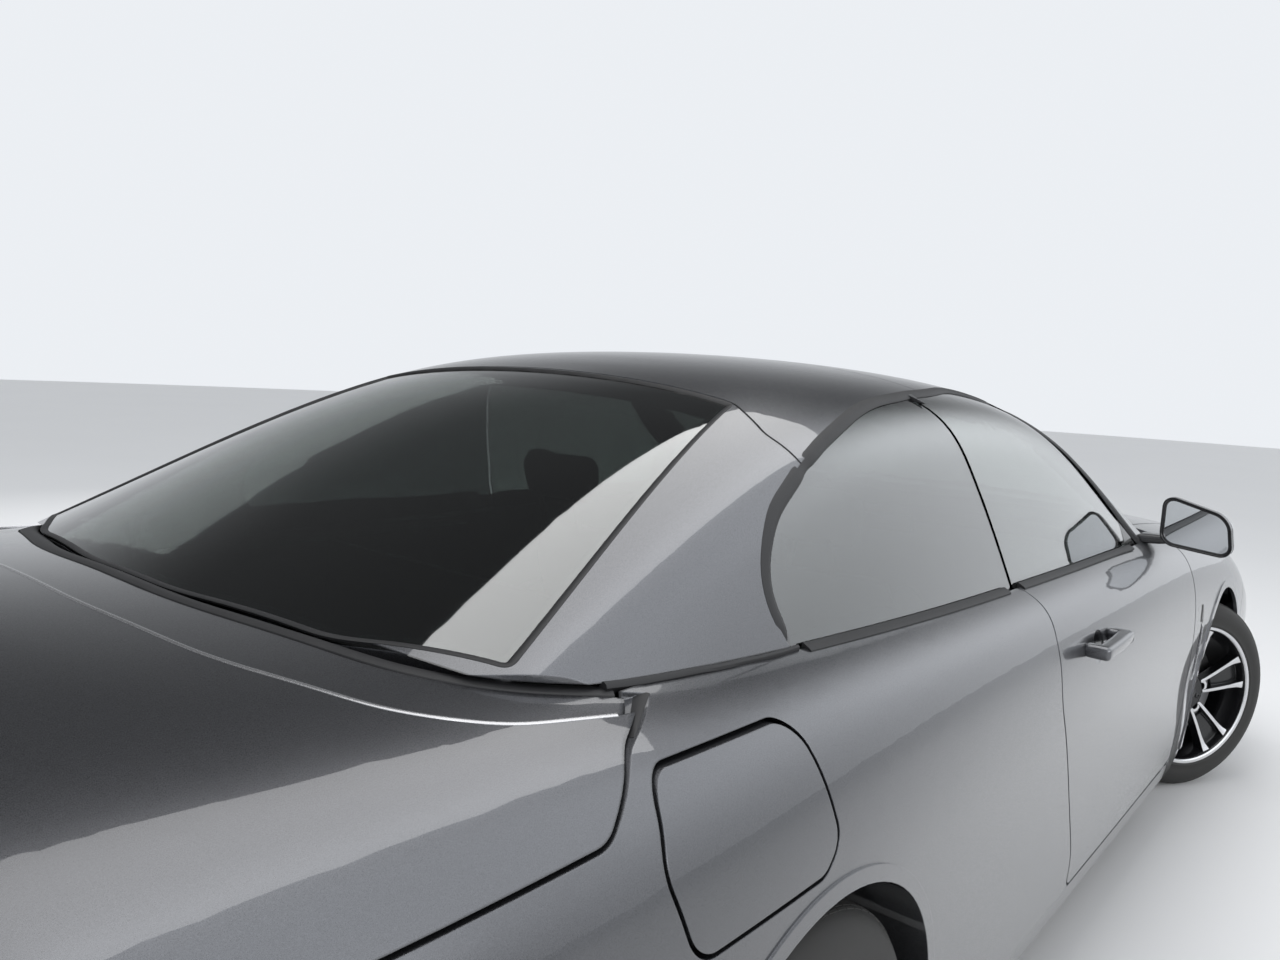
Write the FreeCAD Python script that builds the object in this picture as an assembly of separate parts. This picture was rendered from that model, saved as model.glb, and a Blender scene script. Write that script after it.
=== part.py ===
import FreeCAD, Part
import math
import os
from FreeCAD import Vector

# Two-door convertible with a three-section folding hard top, shown with the roof closed.
# Millimetres. X points forward, Y to the car's left, Z up; the origin is on the ground
# under the middle of the car.

# Overall sizes
LENGTH = 4638.0
NOSE_X = LENGTH / 2
WHEELBASE = 2810.0
FRONT_AXLE_X = 1536.0
REAR_AXLE_X = FRONT_AXLE_X - WHEELBASE
FRONT_TRACK = 1545.0
REAR_TRACK = 1556.0
GLASS_BASE_Z = 905.0      # the side windows stand on the body's waist at this height
SILL_TOP_Z = 228.0
DOOR_GAP = 5.0
HINGE_EDGE_GAP = 8.0

# Wheels
TYRE_R = 331.0
FRONT_TYRE_W = 225.0
REAR_TYRE_W = 255.0
RIM_R = 241.0
ARCH_R = 375.0
STEER_REST_DEG = -31.0    # both front wheels are turned to the right
KINGPIN_Y = 742.0

# Panel thicknesses
SKIN = 8.0
BONNET_T = 25.0
LID_T = 40.0
BUMPER_T = 45.0
ROOF_T = 35.0
GLASS_T = 5.0

# Cross-sections of the lower body. Columns: x, half width, tuck-in of the bottom edge,
# bottom z, shoulder z, half width of the top edge, z of the top edge, z at the centre.
HULL = [
    (2319, 470, 40, 300, 520, 400, 600, 610),
    (2319, 700, 40, 240, 560, 560, 660, 680),
    (2290, 850, 45, 180, 600, 640, 715, 745),
    (2190, 900, 50, 160, 650, 690, 770, 815),
    (1980, 905, 50, 150, 735, 720, 835, 880),
    (1650, 905, 50, 150, 800, 740, 890, 935),
    (1250, 905, 50, 150, 830, 760, 930, 975),
    (850, 906, 50, 150, 845, 785, 950, 1005),
    (350, 908, 50, 150, 850, 800, 958, 1010),
    (-150, 908, 50, 150, 855, 800, 962, 1010),
    (-650, 908, 50, 150, 862, 792, 970, 1015),
    (-1080, 914, 60, 155, 870, 775, 980, 1022),
    (-1420, 918, 60, 170, 868, 755, 985, 1032),
    (-1760, 906, 60, 190, 858, 735, 988, 1046),
    (-2040, 880, 60, 205, 845, 715, 980, 1056),
    (-2200, 850, 60, 215, 820, 690, 955, 1050),
    (-2285, 790, 60, 240, 760, 640, 880, 960),
    (-2319, 660, 60, 290, 680, 560, 760, 800),
    (-2319, 480, 50, 360, 600, 420, 660, 680),
]

# Cross-sections of the roof and windows. Columns: x, half width at the base, base z,
# half width at the roof rail, rail z, z a third of the way in, z at the centre.
CABIN = [
    (1150, 800, 820, 765, 850, 880, 890),
    (980, 798, 850, 760, 905, 950, 968),
    (700, 800, 905, 742, 1018, 1078, 1098),
    (380, 802, 905, 712, 1178, 1240, 1262),
    (90, 802, 905, 692, 1292, 1350, 1370),
    (-180, 800, 905, 677, 1322, 1377, 1395),
    (-480, 796, 905, 670, 1324, 1382, 1401),
    (-760, 790, 905, 666, 1300, 1364, 1385),
    (-1000, 780, 905, 662, 1245, 1312, 1336),
    (-1260, 765, 905, 662, 1150, 1217, 1242),
    (-1520, 740, 905, 662, 1038, 1102, 1128),
    (-1740, 715, 905, 655, 950, 1010, 1036),
    (-1900, 700, 850, 640, 880, 935, 960),
]

# Shut lines seen from the side: (x, z, corner radius)
DOOR = [
    (-285, 1010, 0), (958, 1010, 0), (985, 860, 200), (1012, 640, 300), (1010, 420, 300),
    (990, 236, 25), (-55, 236, 40), (-85, 330, 300), (-200, 520, 400), (-330, 740, 160),
    (-335, 860, 120),
]
WING = [
    (900, 228, 0), (1925, 228, 0), (1925, 590, 20), (1985, 650, 20), (2140, 650, 0),
    (2140, 1100, 0), (900, 1100, 0),
]
HEADLAMP = [
    (1935, 768, 12), (2110, 748, 200), (2400, 668, 0), (2400, 560, 0), (2170, 572, 80),
    (2010, 640, 60),
]
WING_VENT = [(1128, 690, 12), (1082, 500, 12), (1108, 492, 8), (1140, 600, 60)]
TAIL_LAMP = [
    (-1985, 848, 14), (-2110, 700, 70), (-2400, 690, 0), (-2400, 858, 0),
]
QUARTER = [
    (-360, 228, 0), (-1665, 228, 0), (-1665, 500, 30), (-1900, 610, 120), (-2130, 660, 30),
    (-2310, 660, 0), (-2400, 880, 0), (-1800, 1100, 0), (-40, 1100, 0), (-40, 228, 0),
]
REAR_BUMPER = [
    (-1640, 100, 0), (-1640, 515, 30), (-1900, 635, 120), (-2120, 684, 30), (-2400, 684, 0),
    (-2400, 100, 0),
]
LID_SIDE = [
    (-1430, 1200, 0), (-1430, 984, 0), (-1565, 952, 120), (-1655, 895, 60), (-2400, 866, 0),
    (-2400, 1200, 0),
]
FUEL_FLAP = [
    (-1562, 930, 45), (-1300, 930, 45), (-1262, 780, 50), (-1300, 750, 40), (-1560, 750, 45),
    (-1592, 850, 60),
]
QUARTER_WINDOW = [
    (-1128, 940, 20), (-1184, 1050, 160), (-1122, 1146, 190), (-940, 1236, 1100),
    (-700, 1306, 1600), (-478, 1325, 15), (-331, 940, 8),
]
DOOR_WINDOW = [
    (-305, 905, 8), (-466, 1325, 12), (-150, 1338, 1500), (72, 1302, 300), (700, 945, 30),
    (700, 905, 8),
]

# Shut lines seen from above: (x, y, corner radius), right half or whole outline
BONNET = [
    (1012, 0, 0), (1000, -350, 300), (968, -690, 15), (1500, -690, 600), (2075, -610, 60),
    (2215, -380, 200), (2235, 0, 0), (2215, 380, 200), (2075, 610, 60), (1500, 690, 600),
    (968, 690, 15), (1000, 350, 300),
]
LID_FRONT = [
    (-1430, 760, 0), (-1675, 618, 350), (-1780, 200, 900), (-1780, -200, 900),
    (-1675, -618, 350), (-1430, -760, 0), (-1430, -1200, 0), (-2400, -1200, 0),
    (-2400, 1200, 0), (-1430, 1200, 0),
]
LID_CREASE = [
    (-1300, -764, 0), (-1517, -760, 300), (-1662, -714, 200), (-1752, -634, 220),
    (-1838, -424, 500), (-1872, -170, 900), (-1872, 170, 900), (-1838, 424, 500),
    (-1752, 634, 220), (-1662, 714, 200), (-1517, 760, 300), (-1300, 764, 0),
]
REAR_WINDOW = [
    (-932, 480, 12), (-1592, 642, 18), (-1692, 430, 250), (-1736, 130, 900),
    (-1736, -130, 900), (-1692, -430, 250), (-1592, -642, 18), (-932, -480, 12),
]
WINDSCREEN = [
    (170, 596, 30), (770, 716, 30), (862, 420, 300), (890, 100, 800), (890, -100, 800),
    (862, -420, 300), (770, -716, 30), (170, -596, 30),
]


def outline(corners, grow=0.0):
    """Corner points of a closed outline after moving every side outwards by grow."""
    area = 0.0
    n = len(corners)
    for i in range(n):
        a = corners[i]
        b = corners[(i + 1) % n]
        area += a[0] * b[1] - b[0] * a[1]
    turn = 1.0 if area > 0 else -1.0
    lines = []
    for i in range(n):
        a = corners[i]
        b = corners[(i + 1) % n]
        dx, dy = b[0] - a[0], b[1] - a[1]
        size = math.hypot(dx, dy)
        dx, dy = dx / size, dy / size
        lines.append((a[0] + turn * dy * grow, a[1] - turn * dx * grow, dx, dy))
    moved = []
    for i in range(n):
        px, py, pdx, pdy = lines[i - 1]
        qx, qy, qdx, qdy = lines[i]
        cross = pdx * qdy - pdy * qdx
        if abs(cross) < 1e-6:
            x, y = qx, qy
        else:
            t = ((qx - px) * qdy - (qy - py) * qdx) / cross
            x, y = px + t * pdx, py + t * pdy
        radius = corners[i][2]
        if radius > 0:
            radius = max(radius + grow * (1 if cross * turn > 0 else -1), 0.5)
        moved.append((x, y, radius))
    return moved


def prism(corners, view, low, high, grow=0.0):
    """Outline with rounded corners pushed along Y ("side"), Z ("plan") or X ("front")."""
    put = {
        "side": lambda a, b: Vector(a, low, b),
        "plan": lambda a, b: Vector(a, b, low),
        "front": lambda a, b: Vector(low, a, b),
    }[view]
    push = {"side": (0, 1, 0), "plan": (0, 0, 1), "front": (1, 0, 0)}[view]
    points = outline(corners, grow)
    n = len(points)
    ends = []
    for i in range(n):
        x, y, r = points[i]
        ux, uy = points[i - 1][0] - x, points[i - 1][1] - y
        vx, vy = points[(i + 1) % n][0] - x, points[(i + 1) % n][1] - y
        lu, lv = math.hypot(ux, uy), math.hypot(vx, vy)
        ux, uy, vx, vy = ux / lu, uy / lu, vx / lv, vy / lv
        half = math.acos(max(-1.0, min(1.0, ux * vx + uy * vy))) / 2
        if r <= 0 or half > 1.5533:
            ends.append((put(x, y), None, put(x, y)))
            continue
        back = min(r / math.tan(half), 0.49 * lu, 0.49 * lv)
        r = back * math.tan(half)
        bx, by = ux + vx, uy + vy
        lb = math.hypot(bx, by)
        reach = r / math.sin(half) - r
        middle = put(x + bx / lb * reach, y + by / lb * reach)
        ends.append((put(x + ux * back, y + uy * back), middle, put(x + vx * back, y + vy * back)))
    edges = []
    for i in range(n):
        first, middle, last = ends[i]
        if middle is not None:
            edges.append(Part.Arc(first, middle, last).toShape())
        following = ends[(i + 1) % n][0]
        if last.distanceToPoint(following) > 1e-4:
            edges.append(Part.makeLine(last, following))
    face = Part.Face(Part.Wire(edges))
    return face.extrude(Vector(*push) * (high - low))


def box(x0, x1, y0, y1, z0, z1):
    return Part.makeBox(x1 - x0, y1 - y0, z1 - z0, Vector(x0, y0, z0))


def rod(start, end, radius):
    start, end = Vector(*start), Vector(*end)
    along = end - start
    return Part.makeCylinder(radius, along.Length, start, along)


def mirrored(shape):
    return shape.mirror(Vector(0, 0, 0), Vector(0, 1, 0))


def fused(shapes):
    whole = shapes[0]
    if len(shapes) > 1:
        whole = shapes[0].fuse(shapes[1:])
    return whole.removeSplitter()


def skin_solid(rows):
    """Closed solid under one smooth cubic surface whose control rows are given."""
    count_u, count_v = len(rows), len(rows[0])
    mults_u = [4] + [1] * (count_u - 4) + [4]
    mults_v = [4] + [1] * (count_v - 4) + [4]
    surface = Part.BSplineSurface()
    surface.buildFromPolesMultsKnots(
        rows, mults_u, mults_v, list(range(count_u - 2)), list(range(count_v - 2)),
        False, False, 3, 3)
    skin = surface.toShape()
    first = surface.uIso(0).toShape()
    last = surface.uIso(count_u - 3).toShape()
    low = surface.vIso(0).toShape()
    high = surface.vIso(count_v - 3).toShape()
    base = Part.makeRuledSurface(low, high)
    caps = []
    for edge in (first, last):
        a = edge.Vertexes[0].Point
        b = edge.Vertexes[-1].Point
        caps.append(Part.Face(Part.Wire([edge, Part.makeLine(b, a)])))
    shell = Part.Shell([skin, base] + caps)
    solid = Part.Solid(shell)
    if solid.Volume < 0:
        solid.reverse()
    return solid


def hull_rows(inset):
    rows = []
    for x, w, tuck, zb, zsh, we, ze, zc in HULL:
        x = x - inset * x / NOSE_X
        w, we = w - inset, we - inset
        zb, zsh, ze, zc = zb + inset, zsh - 0.3 * inset, ze - inset, zc - inset
        rise = zsh - zb
        half = [
            (w - tuck, zb), (w - 0.35 * tuck, zb + 0.12 * rise), (w - 10, zb + 0.42 * rise),
            (w + 6, zb + 0.80 * rise), ((2 * w + we) / 3 + 18, zsh + 0.38 * (ze - zsh)),
            (we, ze), (0.55 * we, 0.35 * ze + 0.65 * zc), (0, zc),
        ]
        rows.append([Vector(x, -a, b) for a, b in half] + [Vector(x, a, b) for a, b in half[-2::-1]])
    return rows


def cabin_rows(inset):
    rows = []
    for x, wb, zb, wr, zr, zq, zc in CABIN:
        x = x + inset * (x > 1100) - inset * (x < -1800)
        half = [
            (wb + 6 - inset, zb - 2 * inset), ((2 * wb + wr) / 3 + 10 - inset, (2 * zb + zr) / 3),
            ((wb + 2 * wr) / 3 + 8 - inset, (zb + 2 * zr) / 3 - 0.3 * inset),
            (wr - inset, zr - 0.7 * inset), (0.62 * wr, zq - inset), (0, zc - inset),
        ]
        rows.append([Vector(x, -a, b) for a, b in half] + [Vector(x, a, b) for a, b in half[-2::-1]])
    return rows


FORMS = {}


def form(name, inset):
    """The body ("hull") or greenhouse ("cabin") with its surface moved in by inset."""
    key = (name, inset)
    if key not in FORMS:
        FORMS[key] = skin_solid(hull_rows(inset) if name == "hull" else cabin_rows(inset))
    return FORMS[key]


def layer(name, outer, inner):
    key = (name, outer, inner)
    if key not in FORMS:
        FORMS[key] = form(name, outer).cut(form(name, inner))
    return FORMS[key]


def hinge_frame(shape, origin, back, out):
    """Puts a shape drawn about a hinge pin: local X back into the panel, Y outwards."""
    x, y = Vector(*back), Vector(*out)
    z = x.cross(y)
    matrix = FreeCAD.Matrix(x.x, y.x, z.x, origin[0], x.y, y.y, z.y, origin[1],
                            x.z, y.z, z.z, origin[2], 0, 0, 0, 1)
    return shape.transformed(matrix)


PIN_R = 5.0
EYE_R = 8.5
FLAP_PIN_R = 3.0
FLAP_EYE_R = 6.0


def swan_neck(path, width, thick, pin_r=PIN_R, eye_r=EYE_R):
    """Hinge arm from its eye at the pin, along a path of (back, out) points."""
    half = thick / 2
    pieces = [Part.makeCylinder(eye_r, width, Vector(0, 0, -width / 2))]
    for a, b in zip([(0, 0)] + path[:-1], path):
        dx, dy = b[0] - a[0], b[1] - a[1]
        size = math.hypot(dx, dy)
        bar = Part.makeBox(size + half, thick, width, Vector(0, -half, -width / 2))
        bar.rotate(Vector(0, 0, 0), Vector(0, 0, 1), math.degrees(math.atan2(dy, dx)))
        bar.translate(Vector(a[0], a[1], 0))
        pieces.append(bar)
        pieces.append(Part.makeCylinder(half, width, Vector(a[0], a[1], -width / 2)))
    arm = fused(pieces)
    return arm.cut(Part.makeCylinder(pin_r + 0.05, width + 2, Vector(0, 0, -width / 2 - 1)))


def clevis(path, width, thick, pin_r=PIN_R, eye_r=EYE_R):
    """Two ears beside the eye, joined by the pin, along a path of (back, out) points."""
    ears = []
    half = thick / 2
    for side in (-1, 1):
        z = side * (width / 2 + 4) - 3
        ears.append(Part.makeCylinder(eye_r, 6, Vector(0, 0, z)))
        for a, b in zip([(0, 0)] + path[:-1], path):
            dx, dy = b[0] - a[0], b[1] - a[1]
            size = math.hypot(dx, dy)
            bar = Part.makeBox(size, thick, 6, Vector(0, -half, z))
            bar.rotate(Vector(0, 0, 0), Vector(0, 0, 1), math.degrees(math.atan2(dy, dx)))
            bar.translate(Vector(a[0], a[1], 0))
            ears.append(bar)
    pin = Part.makeCylinder(pin_r, width + 14, Vector(0, 0, -width / 2 - 7))
    return fused(ears + [pin])


nodes = {}

# Body forms for one side (the right, y < 0) before they are mirrored
hull = form("hull", 0)
cabin = form("cabin", 0)
front_arch = rod((FRONT_AXLE_X, -1100, TYRE_R), (FRONT_AXLE_X, -485, TYRE_R), ARCH_R)
rear_arch = rod((REAR_AXLE_X, -1100, TYRE_R), (REAR_AXLE_X, -640, TYRE_R), ARCH_R)
bonnet_space = prism(BONNET, "plan", 500, 1200, DOOR_GAP)
lid_space = prism(LID_FRONT, "plan", 500, 1200, DOOR_GAP).common(
    fused([prism(LID_SIDE, "side", -1100, 1100, DOOR_GAP), box(-2400, -2150, -520, 520, 684, 900)]))

# Doors: a thick slab with a planar inner side and a pocket for the window's foot.
# The hinge pins stand ahead of the leading edge, so the door swings clear of the wing.
DOOR_INNER_Y = 785.0
DOOR_PIN = (1085.0, 879.5)
DOOR_HINGES_Z = (515.0, 745.0)
DOOR_OPEN_DEG = 65.0
leaf = hull.common(prism(DOOR, "side", -1100, -880))
leaf = leaf.fuse(hull.common(prism(DOOR, "side", -885, -DOOR_INNER_Y, -15)))
leaf = leaf.fuse(hull.common(prism(DOOR, "side", -1100, -DOOR_INNER_Y).common(
    box(-400, 1100, -1100, -DOOR_INNER_Y, 800, 1010))))
bowl = Part.makeSphere(80, Vector(-70, -968, 815))
leaf = leaf.removeSplitter().cut(cabin).cut(bowl)
arm_rest = prism([(-200, 590, 30), (-200, 650, 20), (420, 700, 60), (640, 640, 60), (600, 560, 60)],
                 "side", -DOOR_INNER_Y, -742)
door_pocket = prism([(-60, 345, 30), (-40, 430, 30), (760, 450, 30), (760, 345, 30)],
                    "side", -DOOR_INNER_Y, -752)
arms = []
for z in DOOR_HINGES_Z:
    arm = swan_neck([(0, -78), (108, -78)], 26, 14)
    arms.append(hinge_frame(arm, (DOOR_PIN[0], -DOOR_PIN[1], z), (-1, 0, 0), (0, -1, 0)))
handle_x = -70.0
handle = rod((handle_x - 95, -932, 812), (handle_x + 95, -932, 818), 11)
handle = handle.fuse([
    rod((handle_x - 85, -895, 812), (handle_x - 85, -932, 812), 10),
    rod((handle_x + 85, -895, 818), (handle_x + 85, -932, 818), 10)])
door = fused([leaf, handle, arm_rest, door_pocket] + arms)
nodes["door_right"] = door

# Side windows
window = layer("cabin", 6, 6 + GLASS_T).common(prism(DOOR_WINDOW, "side", -1100, -400))
nodes["door_window_right"] = window
quarter_window = layer("cabin", 6, 6 + GLASS_T).common(prism(QUARTER_WINDOW, "side", -1100, -400))
foot = layer("cabin", 6, 6 + GLASS_T).common(box(-1110, -340, -1100, -400, 905, 945))
quarter_window = quarter_window.fuse(foot).removeSplitter()

# Door mirrors: a housing on a short foot, with the glass facing back
MIRROR_X, MIRROR_Y, MIRROR_Z = 775.0, 925.0, 985.0
housing = prism([(-95, -60, 30), (95, -45, 35), (100, 45, 30), (60, 62, 30), (-95, 50, 35)],
                "front", 0, 95)
housing.translate(Vector(MIRROR_X - 40, -MIRROR_Y, MIRROR_Z))
recess = prism([(-95, -60, 30), (95, -45, 35), (100, 45, 30), (60, 62, 30), (-95, 50, 35)],
               "front", -1, 6, -8)
recess.translate(Vector(MIRROR_X - 40, -MIRROR_Y, MIRROR_Z))
foot = prism([(MIRROR_X - 30, -850, 0), (MIRROR_X + 45, -835, 0), (MIRROR_X + 40, -770, 8),
              (MIRROR_X - 25, -770, 8)], "plan", 930, 958)
mirror_body = fused([housing.cut(recess), foot.cut(hull).cut(cabin)])
nodes["mirror_right"] = mirror_body

# Front wings
wing = layer("hull", 0, SKIN).common(prism(WING, "side", -1100, -560))
wing = wing.cut(fused([
    prism(DOOR, "side", -1200, -100, HINGE_EDGE_GAP), prism(HEADLAMP, "side", -1200, -100, 2),
    front_arch, bonnet_space, form("cabin", -3), box(600, 1012, -702, 0, 700, 1100)]))
wing = wing.cut(layer("hull", -2, 5).common(prism(WING_VENT, "side", -1100, -560)))
nodes["front_wing_right"] = wing

# Quarter panels: as thick as the whole side wall, with the filler recess
QUARTER_INNER_Y = 720.0
quarter = hull.common(prism(QUARTER, "side", -1100, -QUARTER_INNER_Y))
quarter = quarter.cut(fused([
    prism(DOOR, "side", -1200, -100, DOOR_GAP), prism(REAR_BUMPER, "side", -1200, -100, 3),
    prism(TAIL_LAMP, "side", -1200, -100), rear_arch]))
quarter = quarter.cut(lid_space).cut(cabin)

# Raised lips round the wheel openings
ARCH_LIP = 24.0
for name, x in (("wing", FRONT_AXLE_X), ("quarter", REAR_AXLE_X)):
    ring = rod((x, -1100, TYRE_R), (x, -640, TYRE_R), ARCH_R + ARCH_LIP).cut(
        rod((x, -1110, TYRE_R), (x, -630, TYRE_R), ARCH_R))
    lip = layer("hull", -3.5, 4).common(ring).cut(box(x - 500, x + 500, -1100, -600, 0, SILL_TOP_Z + 1))
    if name == "wing":
        lip = lip.common(box(1000, 1920, -1100, -600, SILL_TOP_Z, 800))
        nodes["front_wing_right"] = nodes["front_wing_right"].fuse(lip)
    else:
        lip = lip.common(box(-1655, -800, -1100, -600, SILL_TOP_Z, 800)).cut(
            prism(REAR_BUMPER, "side", -1200, -100, 3))
        quarter = quarter.fuse(lip)
quarter = max(quarter.Solids, key=lambda s: s.Volume)

# Fuel flap in the right quarter panel, hinged at its front edge
FLAP_T = 12.0
FLAP_DEPTH = 75.0
flap_skin = layer("hull", 0, FLAP_T).common(prism(FUEL_FLAP, "side", -1100, -780))
nodes["fuel_flap"] = flap_skin
nodes["quarter_panel_left"] = mirrored(quarter)
pocket = prism(FUEL_FLAP, "side", -1100, -775, DOOR_GAP + 1)
nodes["quarter_panel_right"] = quarter.cut(pocket)

# Bonnet
bonnet = layer("hull", 0, BONNET_T).common(prism(BONNET, "plan", 600, 1200))
rear_flange = form("hull", 8).common(fused([
    box(900, 1036, -578, 578, 700, 1200), box(900, 1036, -900, -662, 700, 1200),
    box(900, 1036, 662, 900, 700, 1200)]))
nodes["bonnet"] = bonnet.cut(rear_flange)

# Boot lid
lid = layer("hull", 0, LID_T).common(prism(LID_FRONT, "plan", 500, 1200))
lid = lid.common(fused([prism(LID_SIDE, "side", -1100, 1100), box(-2400, -2150, -515, 515, 690, 900)]))
crease = prism(LID_CREASE, "plan", 500, 1200)
nodes["boot_lid"] = lid.cut(layer("hull", -2, 4.5).common(crease))

# Bumpers, lamps
front_bumper = layer("hull", 0, BUMPER_T).common(box(1928, 2400, -1000, 1000, 100, 1100))
front_bumper = front_bumper.cut(bonnet_space)
for y0, y1 in ((-1200, -430), (430, 1200)):
    front_bumper = front_bumper.cut(prism(HEADLAMP, "side", y0, y1))
    front_bumper = front_bumper.cut(prism(WING, "side", y0, y1, 3))
nodes["front_bumper"] = front_bumper.cut(box(1900, 2235, -760, 760, 100, 550))
rear_bumper = layer("hull", 0, BUMPER_T).common(prism(REAR_BUMPER, "side", -1100, 1100)).cut(lid_space)
nodes["rear_bumper"] = rear_bumper.cut(box(-2225, -1600, -760, 760, 100, 700))
headlamp = layer("hull", 1, 60).common(prism(HEADLAMP, "side", -1100, -430)).cut(bonnet_space)
nodes["headlamps"] = Part.makeCompound([headlamp, mirrored(headlamp)])
tail_lamp = layer("hull", 1, 60).common(prism(TAIL_LAMP, "side", -1100, -525))
nodes["tail_lamps"] = Part.makeCompound([tail_lamp, mirrored(tail_lamp)])


# Grille and lower air intake in the front bumper
GRILLE = [(-330, 640, 40), (-290, 500, 30), (290, 500, 30), (330, 640, 40)]
INTAKE = [(-420, 400, 30), (-380, 240, 30), (380, 240, 30), (420, 400, 30)]
bars = []
for y in range(-300, 301, 60):
    bars.append(box(2200, 2400, y - 6, y + 6, 490, 650))
mesh = [box(2200, 2400, -430, 430, z - 6, z + 6) for z in (280, 320, 360)]
grille = layer("hull", 12, BUMPER_T).common(prism(GRILLE, "front", 2100, 2400))
grille = grille.cut(prism(GRILLE, "front", 2100, 2400, -14))
grille = grille.fuse(layer("hull", 16, BUMPER_T - 6).common(prism(GRILLE, "front", 2100, 2400)).common(
    Part.makeCompound(bars)))
lower = layer("hull", 16, BUMPER_T - 6).common(prism(INTAKE, "front", 2100, 2400)).common(
    Part.makeCompound(mesh))
nodes["grille"] = Part.makeCompound(grille.Solids + lower.Solids)
nodes["front_bumper"] = nodes["front_bumper"].cut(
    prism(GRILLE, "front", 2000, 2400)).cut(prism(INTAKE, "front", 2000, 2400))
SIDE_INTAKE = [(500, 290, 30), (520, 430, 30), (760, 440, 60), (800, 330, 40)]
CORNER_LAMP = [(-2400, 430, 0), (-2400, 462, 0), (-2130, 470, 12), (-2130, 438, 12)]
pockets = layer("hull", -2, 30).common(prism(SIDE_INTAKE, "front", 2100, 2400))
nodes["front_bumper"] = nodes["front_bumper"].cut(fused([pockets, mirrored(pockets)]))
reflector = layer("hull", -2, 5).common(prism(CORNER_LAMP, "side", -1100, -560))
tail_diffuser = layer("hull", -2, 18).common(
    prism([(-470, 100, 0), (-400, 330, 30), (400, 330, 30), (470, 100, 0)], "front", -2400, -2200))
fins = Part.makeCompound([box(-2400, -2200, y - 5, y + 5, 200, 331) for y in (-240, -80, 80, 240)])
nodes["rear_bumper"] = nodes["rear_bumper"].cut(
    fused([reflector, mirrored(reflector)])).cut(tail_diffuser.cut(fins))

# Roof: three panels, the windscreen frame ahead of them, and the windows
ROOF_REAR_SEAM = [
    (-925, 0, 0), (-928, -475, 80), (-985, -580, 60), (-1010, -1200, 0), (-2400, -1200, 0),
    (-2400, 1200, 0), (-1010, 1200, 0), (-985, 580, 60), (-928, 475, 80),
]
ROOF_FRONT_SEAM_X = -398.0
HEADER_SEAM_X = 70.0
SEAM = 4.0
side_windows = fused([
    prism(QUARTER_WINDOW, "side", -1200, 1200, 6), prism(DOOR_WINDOW, "side", -1200, 1200, 6)])
under_waist = box(-1122, 712, -1200, 1200, 800, 945)
roof_shell = layer("cabin", 0, ROOF_T).cut(side_windows).cut(under_waist)
lap = layer("cabin", SKIN, ROOF_T).cut(side_windows).cut(under_waist)
behind_seam = prism(ROOF_REAR_SEAM, "plan", 700, 1500)
ahead_of_lid = box(-2000, 0, -1200, 1200, 700, 1500).cut(prism(LID_FRONT, "plan", 600, 1600, 8))
rear_opening = prism(REAR_WINDOW, "plan", 700, 1500)
roof_rear = roof_shell.common(behind_seam).common(ahead_of_lid).cut(rear_opening)
pillar_foot = layer("cabin", 12, ROOF_T).common(box(-1400, -1150, -1200, 1200, 905, 1040))
roof_rear = roof_rear.cut(form("hull", -4))
window_ring = layer("cabin", 9.3, ROOF_T).common(rear_opening).cut(
    prism(REAR_WINDOW, "plan", 700, 1500, -22)).common(ahead_of_lid)
roof_rear = roof_rear.fuse([window_ring, pillar_foot.cut(prism(QUARTER_WINDOW, "side", -1200, 1200, 6))])
roof_rear = max(roof_rear.Solids, key=lambda s: s.Volume)
nodes["roof_rear"] = roof_rear
nodes["rear_window"] = layer("cabin", 4, 9).common(rear_opening)

seam_line = prism(ROOF_REAR_SEAM, "plan", 700, 1500, SEAM)
middle_outer = roof_shell.common(box(-1100, ROOF_FRONT_SEAM_X, -1200, 1200, 900, 1500)).cut(seam_line)
middle_inner = lap.common(box(-1100, ROOF_FRONT_SEAM_X + SEAM, -1200, 1200, 900, 1500)).cut(behind_seam)
roof_middle = middle_outer.fuse(middle_inner.cut(roof_rear))
nodes["roof_middle"] = max(roof_middle.Solids, key=lambda s: s.Volume)
front_outer = roof_shell.common(box(ROOF_FRONT_SEAM_X + SEAM, HEADER_SEAM_X, -1200, 1200, 900, 1500))
front_inner = lap.common(box(ROOF_FRONT_SEAM_X + SEAM, HEADER_SEAM_X + SEAM, -1200, 1200, 900, 1500))
roof_front = front_outer.fuse(front_inner).removeSplitter()
nodes["roof_front"] = max(roof_front.Solids, key=lambda s: s.Volume)

screen_opening = prism(WINDSCREEN, "plan", 700, 1500)
frame = layer("cabin", 0, ROOF_T).common(box(HEADER_SEAM_X + SEAM, 1025, -1200, 1200, 860, 1500))
frame = frame.cut(side_windows).cut(under_waist).cut(box(700, 1025, -1200, -760, 800, 911)).cut(
    box(700, 1025, 760, 1200, 800, 911)).cut(screen_opening).cut(bonnet_space.cut(form("hull", 31)))
frame = max(frame.Solids, key=lambda s: s.Volume)
screen_ledge = layer("cabin", 9.3, ROOF_T).common(screen_opening).cut(
    prism(WINDSCREEN, "plan", 700, 1500, -20))
hinge_room = [box(900, 1030, y - 24, y + 24, 840, 941) for y in (-620, 620)]
nodes["windscreen_frame"] = frame.fuse(screen_ledge).cut(fused(hinge_room))
nodes["windscreen"] = layer("cabin", 4, 9).common(screen_opening)

# Scuttle panel between bonnet and windscreen
scuttle = layer("hull", 5, 16).common(box(740, 1010, -700, 700, 850, 1100))
scuttle = scuttle.cut(form("cabin", -0.3)).cut(bonnet_space).cut(fused([
    box(955, 1015, -668, -572, 800, 1100), box(955, 1015, 572, 668, 800, 1100)]))
nodes["scuttle"] = max(scuttle.Solids, key=lambda s: s.Volume)

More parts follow.
